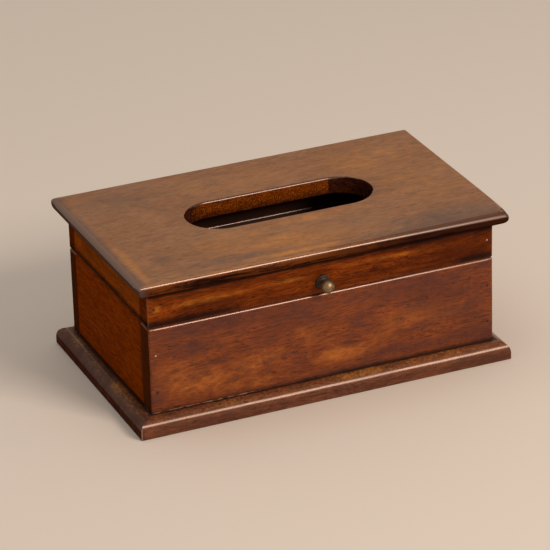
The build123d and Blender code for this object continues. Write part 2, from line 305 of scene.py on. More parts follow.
class Finish(Graph):
    """One finish's material and its shader."""

    def __init__(self, name):
        self.material = bpy.data.materials.new(name)
        self.material.use_nodes = True
        super().__init__(self.material.node_tree)
        self.tree.nodes.clear()
        self.shader = self.node("ShaderNodeBsdfPrincipled")
        self.node("ShaderNodeOutputMaterial", {"Surface": self.shader.outputs["BSDF"]})
        self.place = self.node("ShaderNodeTexCoord").outputs["Object"]
        self.axes = self.parts(self.place)

    def shade(self, name, value):
        """Gives one of the shader's inputs a number, a colour or another node's output."""
        self.put(self.shader.inputs[name], value)

    def span(self, value, low, high, out_low=0.0, out_high=1.0):
        """Carries low to high smoothly onto out_low to out_high, and holds it there."""
        inputs = {"Value": value, "From Min": low, "From Max": high, "To Min": out_low, "To Max": out_high}
        return self.node("ShaderNodeMapRange", inputs, interpolation_type="SMOOTHSTEP").outputs["Result"]

    def stretch(self, vector, scale, shift=(0.0, 0.0, 0.0)):
        """A vector times a scale, plus a shift."""
        made = self.node("ShaderNodeVectorMath", {0: vector, 1: scale, 2: shift}, operation="MULTIPLY_ADD")
        return made.outputs[0]

    def noise(self, vector, detail=2.0, roughness=0.5, distortion=0.0):
        """Soft noise from 0 to 1."""
        inputs = {"Vector": vector, "Scale": 1.0, "Detail": detail, "Roughness": roughness}
        inputs["Distortion"] = distortion
        return self.node("ShaderNodeTexNoise", inputs).outputs["Fac"]

    def grains(self, size, shift=(0.0, 0.0, 0.0), **settings):
        """Noise on the piece, whose features have one size, or one size along each axis."""
        sizes = size if isinstance(size, tuple) else (size,) * 3
        return self.noise(self.stretch(self.place, [1 / part for part in sizes], shift), **settings)

    def bump(self, height, strength, distance, under=None):
        """The surface's direction, made uneven by a height."""
        inputs = {"Strength": strength, "Distance": distance, "Height": height}
        if under is not None:
            inputs["Normal"] = under
        return self.node("ShaderNodeBump", inputs).outputs["Normal"]

    def blend(self, factor, first, second, mode="MIX"):
        """A colour between two others, each a plain colour or a node's output."""
        made = self.node("ShaderNodeMix", {"Factor": factor}, data_type="RGBA", blend_type=mode)
        for socket, shade in zip(made.inputs[6:8], (first, second)):
            self.put(socket, shade if isinstance(shade, bpy.types.NodeSocket) else opaque(shade))
        return made.outputs[2]

    def grey(self, value):
        """A number as a colour."""
        return self.node("ShaderNodeCombineColor", {0: value, 1: value, 2: value}).outputs[0]


def opaque(rgb):
    """A colour with full alpha."""
    return (*rgb, 1.0)


# ---- wood ----

# noise features of the woods, as lengths along and widths across the grain
CLOUD = (46 * MM, 21 * MM)
TINT = (24 * MM, 8 * MM)
MOTTLE = (8 * MM, 2.6 * MM)
STREAK = (120 * MM, 4.5 * MM)
FIBRE = (12 * MM, 0.75 * MM)
PORE = (6 * MM, 0.7 * MM)
FLOW = (70 * MM, 26 * MM)
# size of the lacquer's waves, and sizes along X, Y and Z of the curl in the walls' figure
LACQUER_WAVE = 15 * MM
RIPPLE = (3.4 * MM, 60 * MM, 22 * MM)
# how far the grain wanders sideways, and how far a figure of 1 can move the colour
WANDER = 22 * MM
FULL_SWING = 3.4
# clouds, streaks, mottle and cool colour of a plain board
FIGURE = (0.4, 0.3, 0.3, 0.6)
# the parts of a board that differ in finish, in the order of their material slots
PARTS = ("face", "edge", "end")
# how squarely a flat face looks along its axis
FLAT = 0.985


def grain_space(finish, along):
    """Place with the grain's direction first: X, or Y for the boards that run front to back."""
    x, y, z = finish.axes
    first, second = (x, y) if along == "X" else (y, x)
    return finish.vector(first, second, z)


def features(finish, space, size, shift, **settings):
    """Noise whose features have a length along the grain and a width across it."""
    scale = (1 / size[0], 1 / size[1], 1 / size[1])
    return finish.noise(finish.stretch(space, scale, shift), **settings)


def wood(name, colours, finishes, part, along="X", seed=0.0, gloss=(0.4, 1.0), flow=1.0, figure=FIGURE):
    """Stained wood under lacquer: gives the finish and its colour so far.

    Colours are light, dark and cool. Flow bends the grain. Figure is how strongly clouds, streaks and
    mottle move the colour from the middle, then how far the cool colour comes in. The part is a
    board's face, its edge or its end grain. Gloss is that of the face and of the edge."""
    finish = Finish(f"{name}_{part}")
    light, dark, cool = colours
    shift = (seed * 3.7, seed * 5.3, seed * 2.9)
    space = grain_space(finish, along)
    wander = features(finish, space, FLOW, shift, detail=1.0)
    bend = finish.times(finish.less(wander, 0.5), WANDER * flow)
    space = finish.moved(space, finish.vector(0.0, bend, bend))

    clouds = features(finish, space, CLOUD, shift, detail=5.0, roughness=0.62, distortion=0.4)
    finish.lines = features(finish, space, STREAK, shift, detail=5.0, roughness=0.68)
    finish.mottle = features(finish, space, MOTTLE, shift, detail=4.0, roughness=0.72)
    fibres = features(finish, space, FIBRE, shift, detail=3.0, roughness=0.7)
    pores = features(finish, space, PORE, shift, detail=2.0, roughness=0.55, distortion=0.2)

    share = 0.5
    for field, strength in zip((clouds, finish.lines, finish.mottle), figure):
        swing = strength * FULL_SWING
        share = finish.maths("MULTIPLY_ADD", finish.less(field, 0.5), swing, share, clamp=True)
    tone = finish.blend(share, dark, light)
    tint = features(finish, space, TINT, [place + 9 for place in shift], detail=4.0, roughness=0.65)
    tone = finish.blend(finish.span(tint, 0.48, 0.66, 0.0, figure[3]), tone, cool)
    tone = finish.blend(1.0, tone, finish.grey(finish.span(fibres, 0.25, 0.75, 0.58, 1.42)), mode="MULTIPLY")
    open_pores = finish.span(pores, 0.59, 0.68, 0.0, 0.8)
    tone = finish.blend(open_pores, tone, [value * 0.3 for value in dark])

    is_edge = part == "edge"
    depth = 0.1 if is_edge else 0.3
    height = finish.less(finish.times(fibres, 0.3), finish.times(open_pores, 0.4))
    fine = finish.bump(height, depth, 0.05 * MM)
    wave = finish.grains(LACQUER_WAVE, shift, detail=2.0)
    finish.shade("Normal", finish.bump(wave, 1.7 * depth, 0.3 * MM, fine))
    roughness = finishes.edge_roughness if is_edge else finishes.lacquer_roughness
    finish.rough = finish.span(clouds, 0.3, 0.7, roughness * 1.2, roughness * 0.9)
    finish.shade("Roughness", finish.rough)
    finish.shade("IOR", 1.46)
    finish.shade("Specular IOR Level", dict(zip(PARTS, (*gloss, 0.0)))[part])
    if is_edge:
        finish.shade("Specular Tint", opaque(finishes.edge_tint))
    return finish, tone


def finished(finish, tone):
    """Puts a wood's colour on its shader."""
    finish.shade("Base Color", tone)
    return finish.material


def board_part(normal, along, body):
    """The number of the part that a face of a board is, from the way it faces. The walls' upright
    edges and the left rounding of the base are as dull as a face."""
    if max(abs(part) for part in normal) < FLAT:
        is_dull = body == "box" and (abs(normal.z) < 0.1 or normal.x < -0.3)
        return PARTS.index("face" if is_dull else "edge")
    return PARTS.index("end" if abs(normal["XY".index(along)]) > 0.9 else "face")


def ragged(finish, mask, size=9 * MM, depth=0.9):
    """A mask whose edge wanders, as brushed stain's does."""
    rough = finish.grains(size, detail=5.0, roughness=0.65)
    soft = finish.times(finish.less(1.0, mask), mask)
    wander = finish.times(finish.less(rough, 0.5), soft)
    return finish.maths("MULTIPLY_ADD", wander, 8 * depth, mask, clamp=True)


def darken_where(finish, tone, mask, stain, strength=0.85):
    """Darkens a wood under a ragged mask: painted shade by the nose and seam, and darker wood elsewhere."""
    amount = finish.times(ragged(finish, mask), strength)
    return finish.blend(amount, tone, stain)


def spots(finish, rows):
    """A mask with grainy patches. Each row is a patch's middle, its half sizes and its strength."""
    total = None
    for middle, half, strength in rows:
        scale = [1 / part for part in half]
        shift = [-centre / part for centre, part in zip(middle, half)]
        near = finish.stretch(finish.place, scale, shift)
        reach = finish.node("ShaderNodeVectorMath", {0: near}, operation="LENGTH").outputs["Value"]
        patch = finish.span(reach, 1.2, 0.1, 0.0, strength)
        total = patch if total is None else finish.most(total, patch)
    grainy = finish.span(finish.mottle, 0.32, 0.68, 0.35, 1.3)
    return finish.times(ragged(finish, total, 10 * MM, 0.8), grainy, clamp=True)


def millimetres(*rows):
    """Patches given in millimetres, as spots() takes them."""

    def metres(values):
        return [value * MM for value in values]

    return [(metres(middle), metres(half), strength) for middle, half, strength in rows]


# ---- mesh helpers ----


def new_piece(name, mesh, *materials):
    """An object at the origin that shows a mesh."""
    piece = bpy.data.objects.new(name, mesh)
    bpy.context.scene.collection.objects.link(piece)
    for material in materials:
        mesh.materials.append(material)
    return piece


def mesh_from(bm, name, smooth_angle=radians(34)):
    """A mesh from a bmesh, with crisp edges past an angle and smooth shading elsewhere."""
    for face in bm.faces:
        face.smooth = True
    for edge in bm.edges:
        edge.smooth = len(edge.link_faces) == 2 and edge.calc_face_angle(0.0) < smooth_angle
    mesh = bpy.data.meshes.new(name)
    bm.to_mesh(mesh)
    bm.free()
    return mesh


def with_modifiers(piece, *settings):
    """Adds modifiers to a piece, and makes the result its plain mesh."""
    for kind, values in settings:
        modifier = piece.modifiers.new(kind.lower(), kind)
        for key, value in values.items():
            setattr(modifier, key, value)
    bake_modifiers(piece)


def bake_modifiers(piece):
    """Turns the evaluated piece into a plain mesh without modifiers."""
    bpy.context.view_layer.update()
    evaluated = piece.evaluated_get(bpy.context.evaluated_depsgraph_get())
    mesh = bpy.data.meshes.new_from_object(evaluated)
    materials = list(piece.data.materials)
    piece.modifiers.clear()
    piece.data = mesh
    if not mesh.materials:
        for material in materials:
            mesh.materials.append(material)


def hold(value):
    """A number held between 0 and 1."""
    return min(1.0, max(0.0, value))


def between(first, last, steps):
    """The rings that lie between two rings, so many steps apart."""
    return [[a.lerp(b, i / steps) for a, b in zip(first, last)] for i in range(1, steps)]


def ring_surface(rings):
    """A closed surface of quads between rings of points, the last joined to the first."""
    bm = bmesh.new()
    rows = [[bm.verts.new(point) for point in ring] for ring in rings]
    for lower, upper in zip(rows, rows[1:] + rows[:1]):
        for i in range(len(lower)):
            j = (i + 1) % len(lower)
            bm.faces.new((lower[i], lower[j], upper[j], upper[i]))
    bmesh.ops.recalc_face_normals(bm, faces=bm.faces)
    return bm


# how far apart the waves lie that hand sanding left in the top, in the other boards, and in their
# upright outer edges
TOP_WAVE = 38 * MM
BOARD_WAVE = 34 * MM
ARRIS_WAVE = 9 * MM


def wear(bm, amount, wavelength, seed, free):
    """Moves vertices inwards by smooth noise. free(place) says how far a vertex may move, 0 to 1."""
    bm.normal_update()
    moves = []
    for vert in bm.verts:
        at = vert.co / wavelength + Vector((seed, seed * 1.7, seed * 0.6))
        depth = amount * (0.5 + 0.5 * noise.noise(at)) * free(vert.co)
        moves.append((vert, vert.normal * depth))
    for vert, move in moves:
        vert.co -= move


def hang(piece, body, slot_name, *nodes):
    """Rides a piece on a body, in the place of its CAD nodes."""
    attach(piece, body)
    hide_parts(*nodes)


# ---- moulded boards ----


def stations(half_x, half_y, step, around=4):
    """Places round a rectangle from its front left corner: a point on the unit square's edge, the
    outward direction there, and the side's number plus the share of that side."""
    corners = [(-1, -1), (1, -1), (1, 1), (-1, 1)]
    directions = [(0, -1), (1, 0), (0, 1), (-1, 0)]
    found = []
    for side in range(4):
        start, end = corners[side], corners[(side + 1) % 4]
        steps = round(2 * (half_y if side % 2 else half_x) / step)
        total = steps + around
        for i in range(total):
            t = min(i / steps, 1.0)
            at = (start[0] + (end[0] - start[0]) * t, start[1] + (end[1] - start[1]) * t)
            turn = pi / 2 * (side - 1 + max(0, i - steps) / around)
            direction = directions[side] if i <= steps else (cos(turn), sin(turn))
            found.append((at, direction, side + i / total))
    return found


def edge_point(station, half_x, half_y, reach, corner, z):
    """A point of a moulded edge, at a reach past the walls."""
    (u, v), (nx, ny), _ = station
    x = u * (half_x + reach - corner) + (nx if abs(u) == 1 else 0) * corner
    y = v * (half_y + reach - corner) + (ny if abs(v) == 1 else 0) * corner
    return Vector((x, y, z))


def slot_point(share, middle, half_straight, radius, z):
    """A point of the slot's outline, whose quarters start at 45 degrees on its round ends."""
    eighth = pi / 4
    straight = 2 * half_straight / radius
    quarters = [straight + 2 * eighth, 2 * eighth, straight + 2 * eighth, 2 * eighth]
    side = int(share) % 4
    run = sum(quarters[:side]) + quarters[side] * (share - int(share))
    run = (run + 7 * eighth + straight) % (2 * straight + 8 * eighth)
    # from the right end's front, round it, back along the straight, round the left end, and forward
    if run < 4 * eighth:
        angle = -2 * eighth + run
        x, y = half_straight + radius * cos(angle), radius * sin(angle)
    elif run < 4 * eighth + straight:
        x, y = half_straight - (run - 4 * eighth) * radius, radius
    elif run < 8 * eighth + straight:
        angle = 2 * eighth + (run - 4 * eighth - straight)
        x, y = -half_straight + radius * cos(angle), radius * sin(angle)
    else:
        x, y = -half_straight + (run - 8 * eighth - straight) * radius, -radius
    return Vector((middle[0] + x, middle[1] + y, z))


def opening_box(name):
    """An opening's box from the record."""
    for opening in frame["record"]["physics"]["openings"]:
        if opening["name"] == name:
            return Vector(opening["box_m"][0]), Vector(opening["box_m"][1])
    raise RuntimeError(f"the record has no opening named {name}")


# rounding of the slot's upper rim, and its steps
SLOT_RIM = 2.0 * MM
RIM_STEPS = 5
# the nose: places along the slope under it, and the steps of its lower and upper rounding
SLOPE_PLACES = (0, 0.04, 0.35, 0.7)
LOWER_STEPS = 7
UPPER_STEPS = 9
# step between places round the top board, and the strips of faces from its edge to the slot, above
# and below
TOP_STEP = 2.9 * MM
TOP_STRIPS = 14
UNDER_STRIPS = 5


class TISSUE_BOX_OT_top_board(bpy.types.Operator):
    """Makes the top board, with its moulded edge and its round-ended slot"""

    bl_idname = "tissue_box.top_board"
    bl_label = "Top board"

    def execute(self, context):
        shapes = context.scene.tissue_box_shapes
        low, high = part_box("top_board")
        rail_low, rail_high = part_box("lid_front_rail")
        half_x, half_y = rail_high.x, -rail_low.y
        overhang = high.x - half_x
        places = stations(high.x, high.y, TOP_STEP)
        profiles = [self.profile(shapes, station, overhang, high.z - low.z) for station in places]

        rings = []
        for level in zip(*profiles):
            ring = []
            for station, (reach, z) in zip(places, level):
                (u, v), _, _ = station
                corner = shapes.corner_round + shapes.worn_corner * (max(u, 0.0) * max(-v, 0.0)) ** 6
                ring.append(edge_point(station, half_x, half_y, reach, corner, low.z + z))
            rings.append(ring)
        underside, flat_edge = rings[0], rings[-1]

        slot = self.slot_rings(places, low.z, high.z)
        rings += between(flat_edge, slot[0], TOP_STRIPS)
        rings += slot
        rings += between(slot[-1], underside, UNDER_STRIPS)
        bm = ring_surface(rings)
        wear(bm, shapes.hand_waviness, TOP_WAVE, 3.0, lambda at: hold((at.z - low.z - 0.3 * MM) / MM))
        woods = [top_wood(context, low, high, part) for part in PARTS]
        for face in bm.faces:
            face.material_index = PARTS.index(self.part_of(face, half_x, half_y))
        piece = new_piece("lid_top", mesh_from(bm, "lid_top", radians(60)), *woods)
        with_modifiers(piece, ("WEIGHTED_NORMAL", {"keep_sharp": True}))
        hang(piece, "lid", "top_wood", "top_board")
        return {"FINISHED"}

    def part_of(self, face, half_x, half_y):
        """The finish that a face gets. The dull one of the end grain also covers the underside, the
        ends of the slot, and the front right nose but for the band that catches the light."""
        at, normal = face.calc_center_median(), face.normal
        in_slot = abs(at.x) < 0.7 * half_x and abs(at.y) < 0.7 * half_y
        at_nose = normal.y < -0.1 and normal.z < 0.97 and at.y < -half_y and at.x > 0.0
        if normal.z < 0.1 or (in_slot and abs(normal.x) > 0.4) or (at_nose and not 0.28 < normal.z < 0.8):
            return "end"
        return "edge" if normal.z < FLAT else "face"

    def upper_round(self, shapes, u, v):
        """Rounding of the upper edge: it was sanded more at the left and at the front right."""
        across = (u + 1) / 2
        front = shapes.front_round_left + (shapes.front_round_right - shapes.front_round_left) * across**1.5
        back = shapes.back_round
        if v == -1:
            return front
        if abs(u) == 1:
            side = shapes.side_round if u < 0 else back
            end = front if v < 0 else back
            return side + (end - side) * abs(v) ** 8
        return back

    def profile(self, shapes, station, overhang, thickness):
        """Reach and height from the underside, round the nose, to the flat top."""
        slope = shapes.under_slope
        tangent = (pi / 2 - slope) / 2
        shoulder = overhang * sin(slope) / cos(slope)
        wide = self.upper_round(shapes, *station[0])
        tall = min(wide, max(shapes.nose_top, 0.74 * wide))
        land_top = thickness - max(shapes.nose_top, tall)
        land_low = land_top - shapes.nose_land
        rise = land_low - shoulder
        below = rise * cos(tangent) / sin(tangent)
        start = overhang / cos(slope) - rise
        points = [(start * t * cos(slope), start * t * sin(slope)) for t in SLOPE_PLACES]
        for i in range(LOWER_STEPS + 1):
            angle = (slope - pi / 2) * (1 - i / LOWER_STEPS)
            points.append((overhang - below * (1 - cos(angle)), land_low + below * sin(angle)))
        for i in range(UPPER_STEPS + 1):
            angle = pi / 2 * i / UPPER_STEPS
            points.append((overhang - wide * (1 - cos(angle)), thickness - tall * (1 - sin(angle))))
        return points

    def slot_rings(self, places, bottom, top):
        """Rings from the slot's rim down its wall."""
        middle_low, middle_high = opening_box("slot_middle")
        middle = (middle_low + middle_high) / 2
        half_straight = (middle_high.x - middle_low.x) / 2
        radius = (middle_high.y - middle_low.y) / 2 + 0.3 * MM
        turns = [pi / 2 * i / RIM_STEPS for i in range(RIM_STEPS + 1)]
        levels = [(SLOT_RIM * (1 - sin(turn)), top - SLOT_RIM * (1 - cos(turn))) for turn in turns]
        levels += [(0.0, bottom + (top - bottom) * z) for z in (0.7, 0.45, 0.2, 0.04)]
        levels.append((0.4 * MM, bottom))
        return [
            [slot_point(share, middle, half_straight, radius + wider, z) for _, _, share in places]
            for wider, z in levels
        ]


# cool smudges and rubbed pale patches of the top; the cool patch behind the front right edge is painted
# shade, and the pale patches at the front middle and the right are painted sheen
TOP_COOL_AND_SHADE = millimetres(
    ((-62, -69, 114), (44, 7, 9), 0.60),
    ((-108, -50, 114), (10, 13, 9), 0.50),
    ((-98, 58, 114), (40, 28, 9), 0.35),
    ((98, -67, 114), (56, 13, 9), 0.85),
    ((20, -54, 114), (34, 14, 9), 0.25),
    ((60, -10, 114), (60, 9, 9), 0.20),
)
TOP_PALE_AND_SHEEN = millimetres(
    ((-130, -46, 114), (5, 40, 9), 0.60),
    ((-16, -77, 114), (46, 4, 9), 0.85),
    ((-50, -42, 114), (44, 18, 9), 0.25),
    ((90, 44, 114), (46, 34, 9), 0.25),
    ((18, -30, 114), (44, 7, 9), 0.40),
    ((0, 50, 114), (60, 20, 9), 0.18),
    ((-10, -58, 114), (60, 18, 9), 0.50),
    ((104, 0, 114), (36, 50, 9), 0.20),
)


def top_wood(context, low, high, part):
    """Brown wood of the top: warm under the nose, with painted shade and reflection on its rounds and a
    speckled slot.
    """
    finishes = context.scene.tissue_box_finishes
    finish, tone = wood(
        "top_wood",
        (finishes.top_light, finishes.top_dark, finishes.top_cool),
        finishes,
        part,
        seed=1.0,
        gloss=(finishes.top_gloss, 0.85),
        flow=0.5,
        figure=(0.16, 0.26, 0.14, 0.15),
    )
    x, y, z = finish.axes
    tone = finish.blend(spots(finish, TOP_PALE_AND_SHEEN), tone, finishes.golden)
    tone = finish.blend(spots(finish, TOP_COOL_AND_SHADE), tone, finishes.top_cool)
    # cool colour at the left edge, a painted dull reflection on its round, and at the front edge towards the
    # right, painted shade on its round
    to_right = finish.span(x, -20 * MM, 70 * MM)
    left = finish.span(x, low.x + 2 * MM, low.x + 9 * MM, 1.0, 0.0)
    rounded = finish.span(y, low.y + 3 * MM, low.y + 15 * MM, 1.0, 0.0)
    edge = finish.most(left, finish.times(rounded, to_right))
    tone = finish.blend(finish.times(ragged(finish, edge), 0.8), tone, finishes.top_cool)

    # golden streaks along the nose, painted shade that turns it near-black towards the right, the cool
    # painted reflection of its left end, and painted shade under it
    nose = finish.span(z, high.z - 2.6 * MM, high.z - 0.7 * MM, 1.0, 0.0)
    streaks = finish.plus(finish.span(finish.lines, 0.3, 0.7, 0.0, 0.7), finish.mottle)
    streaks = finish.span(streaks, 0.65, 1.15, 0.0, 0.8)
    warm = finish.blend(streaks, finishes.nose_dark, finishes.nose_light)
    # painted shade: the nose turns near-black towards the front right
    dark = finish.times(ragged(finish, to_right, 16 * MM), 0.85)
    warm = finish.blend(dark, warm, finishes.nose_dark)
    warm = finish.blend(left, warm, finishes.top_cool)
    tone = finish.blend(nose, tone, warm)
    # painted shade under the nose, where it meets the rail
    under = finish.span(z, low.z + 1.0 * MM, low.z + 4.2 * MM, 1.0, 0.0)
    tone = darken_where(finish, tone, under, finishes.stain, 0.85)
    tone = slot_tone(finish, tone, finishes, low, high)
    if part == "edge":
        dulled = finish.times(finish.rough, finish.span(x, 0.0, 130 * MM, 1.0, 1.7))
        finish.shade("Roughness", dulled)
    return finished(finish, tone)


def slot_tone(finish, tone, finishes, low, high):
    """Orange speckled wood on the slot's long walls and dark end grain on its round right end."""
    x, y, z = finish.axes
    low_corner, high_corner = opening_box("slot_middle")
    middle = (low_corner + high_corner) / 2
    half_straight, radius = (high_corner.x - low_corner.x) / 2, (high_corner.y - low_corner.y) / 2
    # how far a place is from the line between the middles of the slot's round ends
    off_x = finish.maths("ABSOLUTE", finish.less(x, middle.x))
    off_x = finish.most(finish.less(off_x, half_straight), 0.0)
    off_y = finish.maths("ABSOLUTE", finish.less(y, middle.y))
    away = finish.maths("SQRT", finish.plus(finish.times(off_x, off_x), finish.times(off_y, off_y)))
    # the slot's wall, but not the flat top and the underside round it
    inside = finish.span(away, radius + 4 * MM, radius + 3 * MM)
    inside = finish.times(inside, finish.span(z, high.z - 0.35 * MM, high.z - 0.1 * MM, 1.0, 0.0))
    inside = finish.times(inside, finish.span(z, low.z + 0.1 * MM, low.z + 0.4 * MM))

    speckle = finish.grains(0.9 * MM, detail=2.0, roughness=0.7)
    patch = finish.grains((8 * MM, 8 * MM, 3 * MM), detail=4.0)
    speckled = finish.plus(speckle, finish.times(patch, 0.35))
    wall = finish.blend(finish.span(speckled, 0.45, 0.95), finishes.rail_dark, finishes.rail_light)
    wall = finish.blend(finish.span(speckle, 0.56, 0.66, 0.0, 0.5), wall, finishes.golden)
    # dark end grain at the round ends, painted shade low down in the slot, and dark at the lip
    right_end = finish.span(x, high_corner.x + 2.4 * MM, high_corner.x + 3.6 * MM, 0.0, 0.8)
    left_end = finish.span(x, low_corner.x - 16 * MM, low_corner.x + 3 * MM, 0.75, 0.0)
    lower = finish.span(z, high.z - 12 * MM, high.z - 7 * MM, 0.6, 0.0)
    shaded = finish.most(finish.most(right_end, left_end), lower)
    wall = finish.blend(ragged(finish, shaded, 3 * MM), wall, finishes.nose_dark)
    lip = finish.span(z, high.z - 2.2 * MM, high.z - 1.2 * MM, 0.0, 0.7)
    return finish.blend(inside, tone, finish.blend(lip, wall, finishes.nose_dark))


# ---- plain boards ----


def dressed_board(name, node, body, woods, along, shapes):
    """A board in place of its CAD node, worn by hand outside, and eased inside by the seam."""
    is_base = node == "base_board"
    outer_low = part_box(node if is_base else "front_board")[0]
    outer_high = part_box(node if is_base else "back_board")[1]
    low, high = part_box(node)
    bm = merged_copy(node)
    bmesh.ops.dissolve_limit(bm, angle_limit=radians(0.5), verts=bm.verts, edges=bm.edges)
    cut_across(bm, low, high, shapes.cut_length)
    if not is_base:
        axis, place = inner_face(low, high)
        ends = [point[1 - axis] for point in opening_box("tissue_space")]
        inner = (place, 1.0 if place > 0.0 else -1.0)
        if body == "box":
            seam, radius = (high.z, -1.0), shapes.wall_arris
        else:
            seam, radius = (low.z, 1.0), shapes.rail_arris
        ease_edge(bm, axis, inner, seam, radius, ends)
        if node == "front_board":
            ease_edge(bm, axis, (low.y, 1.0), seam, shapes.seam_arris, (low.x + MM, high.x - MM))
    bm.normal_update()
    for face in bm.faces:
        face.material_index = board_part(face.normal, along, body)

    def past(at, axis):
        """How far a place is outside the outer faces along one axis."""
        return max(outer_low[axis] - at[axis], at[axis] - outer_high[axis])

    def free(at):
        """Outside faces may wear; what touches another board stays. It fades out from 0.5 to 1.5 mm
        under the outer faces, at the foot of the walls and the base, and up the rails."""
        outside = hold((max(past(at, 0), past(at, 1)) + 1.5 * MM) / MM)
        above = (at.z - low.z) / (1.2 * MM) if body == "box" else (high.z - at.z) / (high.z - low.z)
        return outside * hold(above)

    def arris(at):
        """As free(), on the outer upright edges alone."""
        return free(at) if min(past(at, 0), past(at, 1)) > -1.1 * MM else 0.0

    wear(bm, shapes.hand_waviness, BOARD_WAVE, 5.0, free)
    wear(bm, shapes.edge_waviness, ARRIS_WAVE, 8.0, arris)
    if is_base:
        skew_left(bm, low, high, shapes.base_skew)
    piece = new_piece(name, mesh_from(bm, name), *woods)
    with_modifiers(piece, ("WEIGHTED_NORMAL", {"keep_sharp": True}))
    hang(piece, body, frame["nodes"][node].data.materials[0].name, node)


def four_boards(context, name, node, body, wood_of, seeds):
    """The boards of the four sides. Name and node have a gap for the side. Seeds are those of the
    wood of the boards along X and along Y."""
    shapes = context.scene.tissue_box_shapes
    woods = {along: [wood_of(context, along, seed, part) for part in PARTS] for along, seed in seeds.items()}
    for side, along in (("front", "X"), ("back", "X"), ("left", "Y"), ("right", "Y")):
        dressed_board(name.format(side), node.format(side), body, woods[along], along, shapes)


def merged_copy(node):
    """A CAD node's mesh with its loose triangles joined."""
    bm = bmesh.new()
    bm.from_mesh(frame["nodes"][node].data)
    bmesh.ops.remove_doubles(bm, verts=bm.verts, dist=0.001 * MM)
    return bm


def cut(bm, place, normal):
    """Cuts a board's faces along a plane."""
    whole = bm.verts[:] + bm.edges[:] + bm.faces[:]
    bmesh.ops.bisect_plane(bm, geom=whole, plane_co=place, plane_no=normal)


def cut_across(bm, low, high, spacing):
    """Cuts a board square across its length, width and height, so that it can be worn."""
    for axis in range(3):
        normal = Vector((axis == 0, axis == 1, axis == 2))
        cuts = round((high[axis] - low[axis]) / spacing)
        for i in range(1, cuts):
            cut(bm, low.lerp(high, i / cuts), normal)


def skew_left(bm, low, high, skew):
    """Leans the base's left side in, the more the further back."""
    wall_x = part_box("front_board")[0].x
    for vert in bm.verts:
        if vert.co.x < wall_x - 0.5 * MM:
            vert.co.x += skew * (vert.co.y - low.y) / (high.y - low.y)


# where an eased edge is cut, as shares of its radius, and how far from its ends it is fully round
EASE_CUTS = (0.1, 0.3, 0.5, 0.75, 1.0)
EASE_FADE = 4 * MM


def ease_edge(bm, axis, side, seam, radius, span):
    """Rounds one long edge of a board. Side and seam each give a face's place and the way into the
    wood, across the board and upright. Span is where the rounding starts and ends along the board."""
    across, upright = Vector((axis == 0, axis == 1, 0.0)), Vector((0.0, 0.0, 1.0))
    for step in EASE_CUTS:
        for normal, (place, inward) in ((across, side), (upright, seam)):
            cut(bm, normal * (place + inward * radius * step), normal)
    for vert in bm.verts:
        clear = min(vert.co[1 - axis] - span[0], span[1] - vert.co[1 - axis])
        reach = radius * hold(clear / EASE_FADE)
        depth = Vector(((vert.co[axis] - side[0]) * side[1], (vert.co.z - seam[0]) * seam[1]))
        if max(depth) < reach and min(depth) > -0.01 * MM:
            middle = Vector((reach, reach))
            depth = middle + (depth - middle).normalized() * reach
            vert.co[axis] = side[0] + side[1] * depth.x
            vert.co.z = seam[0] + seam[1] * depth.y


class TISSUE_BOX_OT_walls(bpy.types.Operator):
    """Makes the four walls of the box"""

    bl_idname = "tissue_box.walls"
    bl_label = "Walls"

    def execute(self, context):
        four_boards(context, "{}_wall", "{}_board", "box", wall_wood, {"X": 3.0, "Y": 4.0})
        return {"FINISHED"}


def inner_face(low, high):
    """The axis across a board and the place of its inner face on it."""
    axis = 0 if high.x - low.x < high.y - low.y else 1
    place = low[axis] if abs(low[axis]) < abs(high[axis]) else high[axis]
    return axis, place


# purplish clouds and pale patches of the front
FRONT_COOL = millimetres(
    ((-84, -75, 71), (60, 9, 10), 0.90),
    ((-100, -75, 57), (28, 9, 9), 0.80),
    ((-40, -75, 52), (20, 9, 6), 0.50),
    ((-20, -75, 67), (50, 9, 14), 0.60),
    ((60, -75, 69), (76, 9, 12), 0.75),
    ((30, -75, 54), (14, 9, 12), 0.40),
    ((96, -75, 54), (40, 9, 20), 0.40),
    ((-18, -75, 26), (10, 9, 10), 0.45),
    ((66, -75, 21), (54, 9, 8), 0.80),
    ((108, -75, 22), (36, 9, 11), 0.70),
    ((114, -75, 44), (12, 9, 9), 0.75),
    ((20, -75, 15), (60, 9, 5), 0.85),
    ((-124, -75, 24), (8, 9, 12), 0.60),
    ((124, -75, 74), (9, 9, 5), 0.95),
)
FRONT_PALE = millimetres(
    ((-108, -75, 38), (22, 9, 14), 0.35),
    ((-90, -75, 30), (42, 9, 11), 0.55),
    ((-50, -75, 36), (26, 9, 12), 0.45),
    ((-60, -75, 22), (34, 9, 7), 0.40),
    ((14, -75, 28), (26, 9, 7), 0.85),
    ((-14, -75, 50), (14, 9, 12), 0.30),
    ((70, -75, 44), (36, 9, 11), 0.25),
    ((44, -75, 36), (14, 9, 12), 0.25),
)


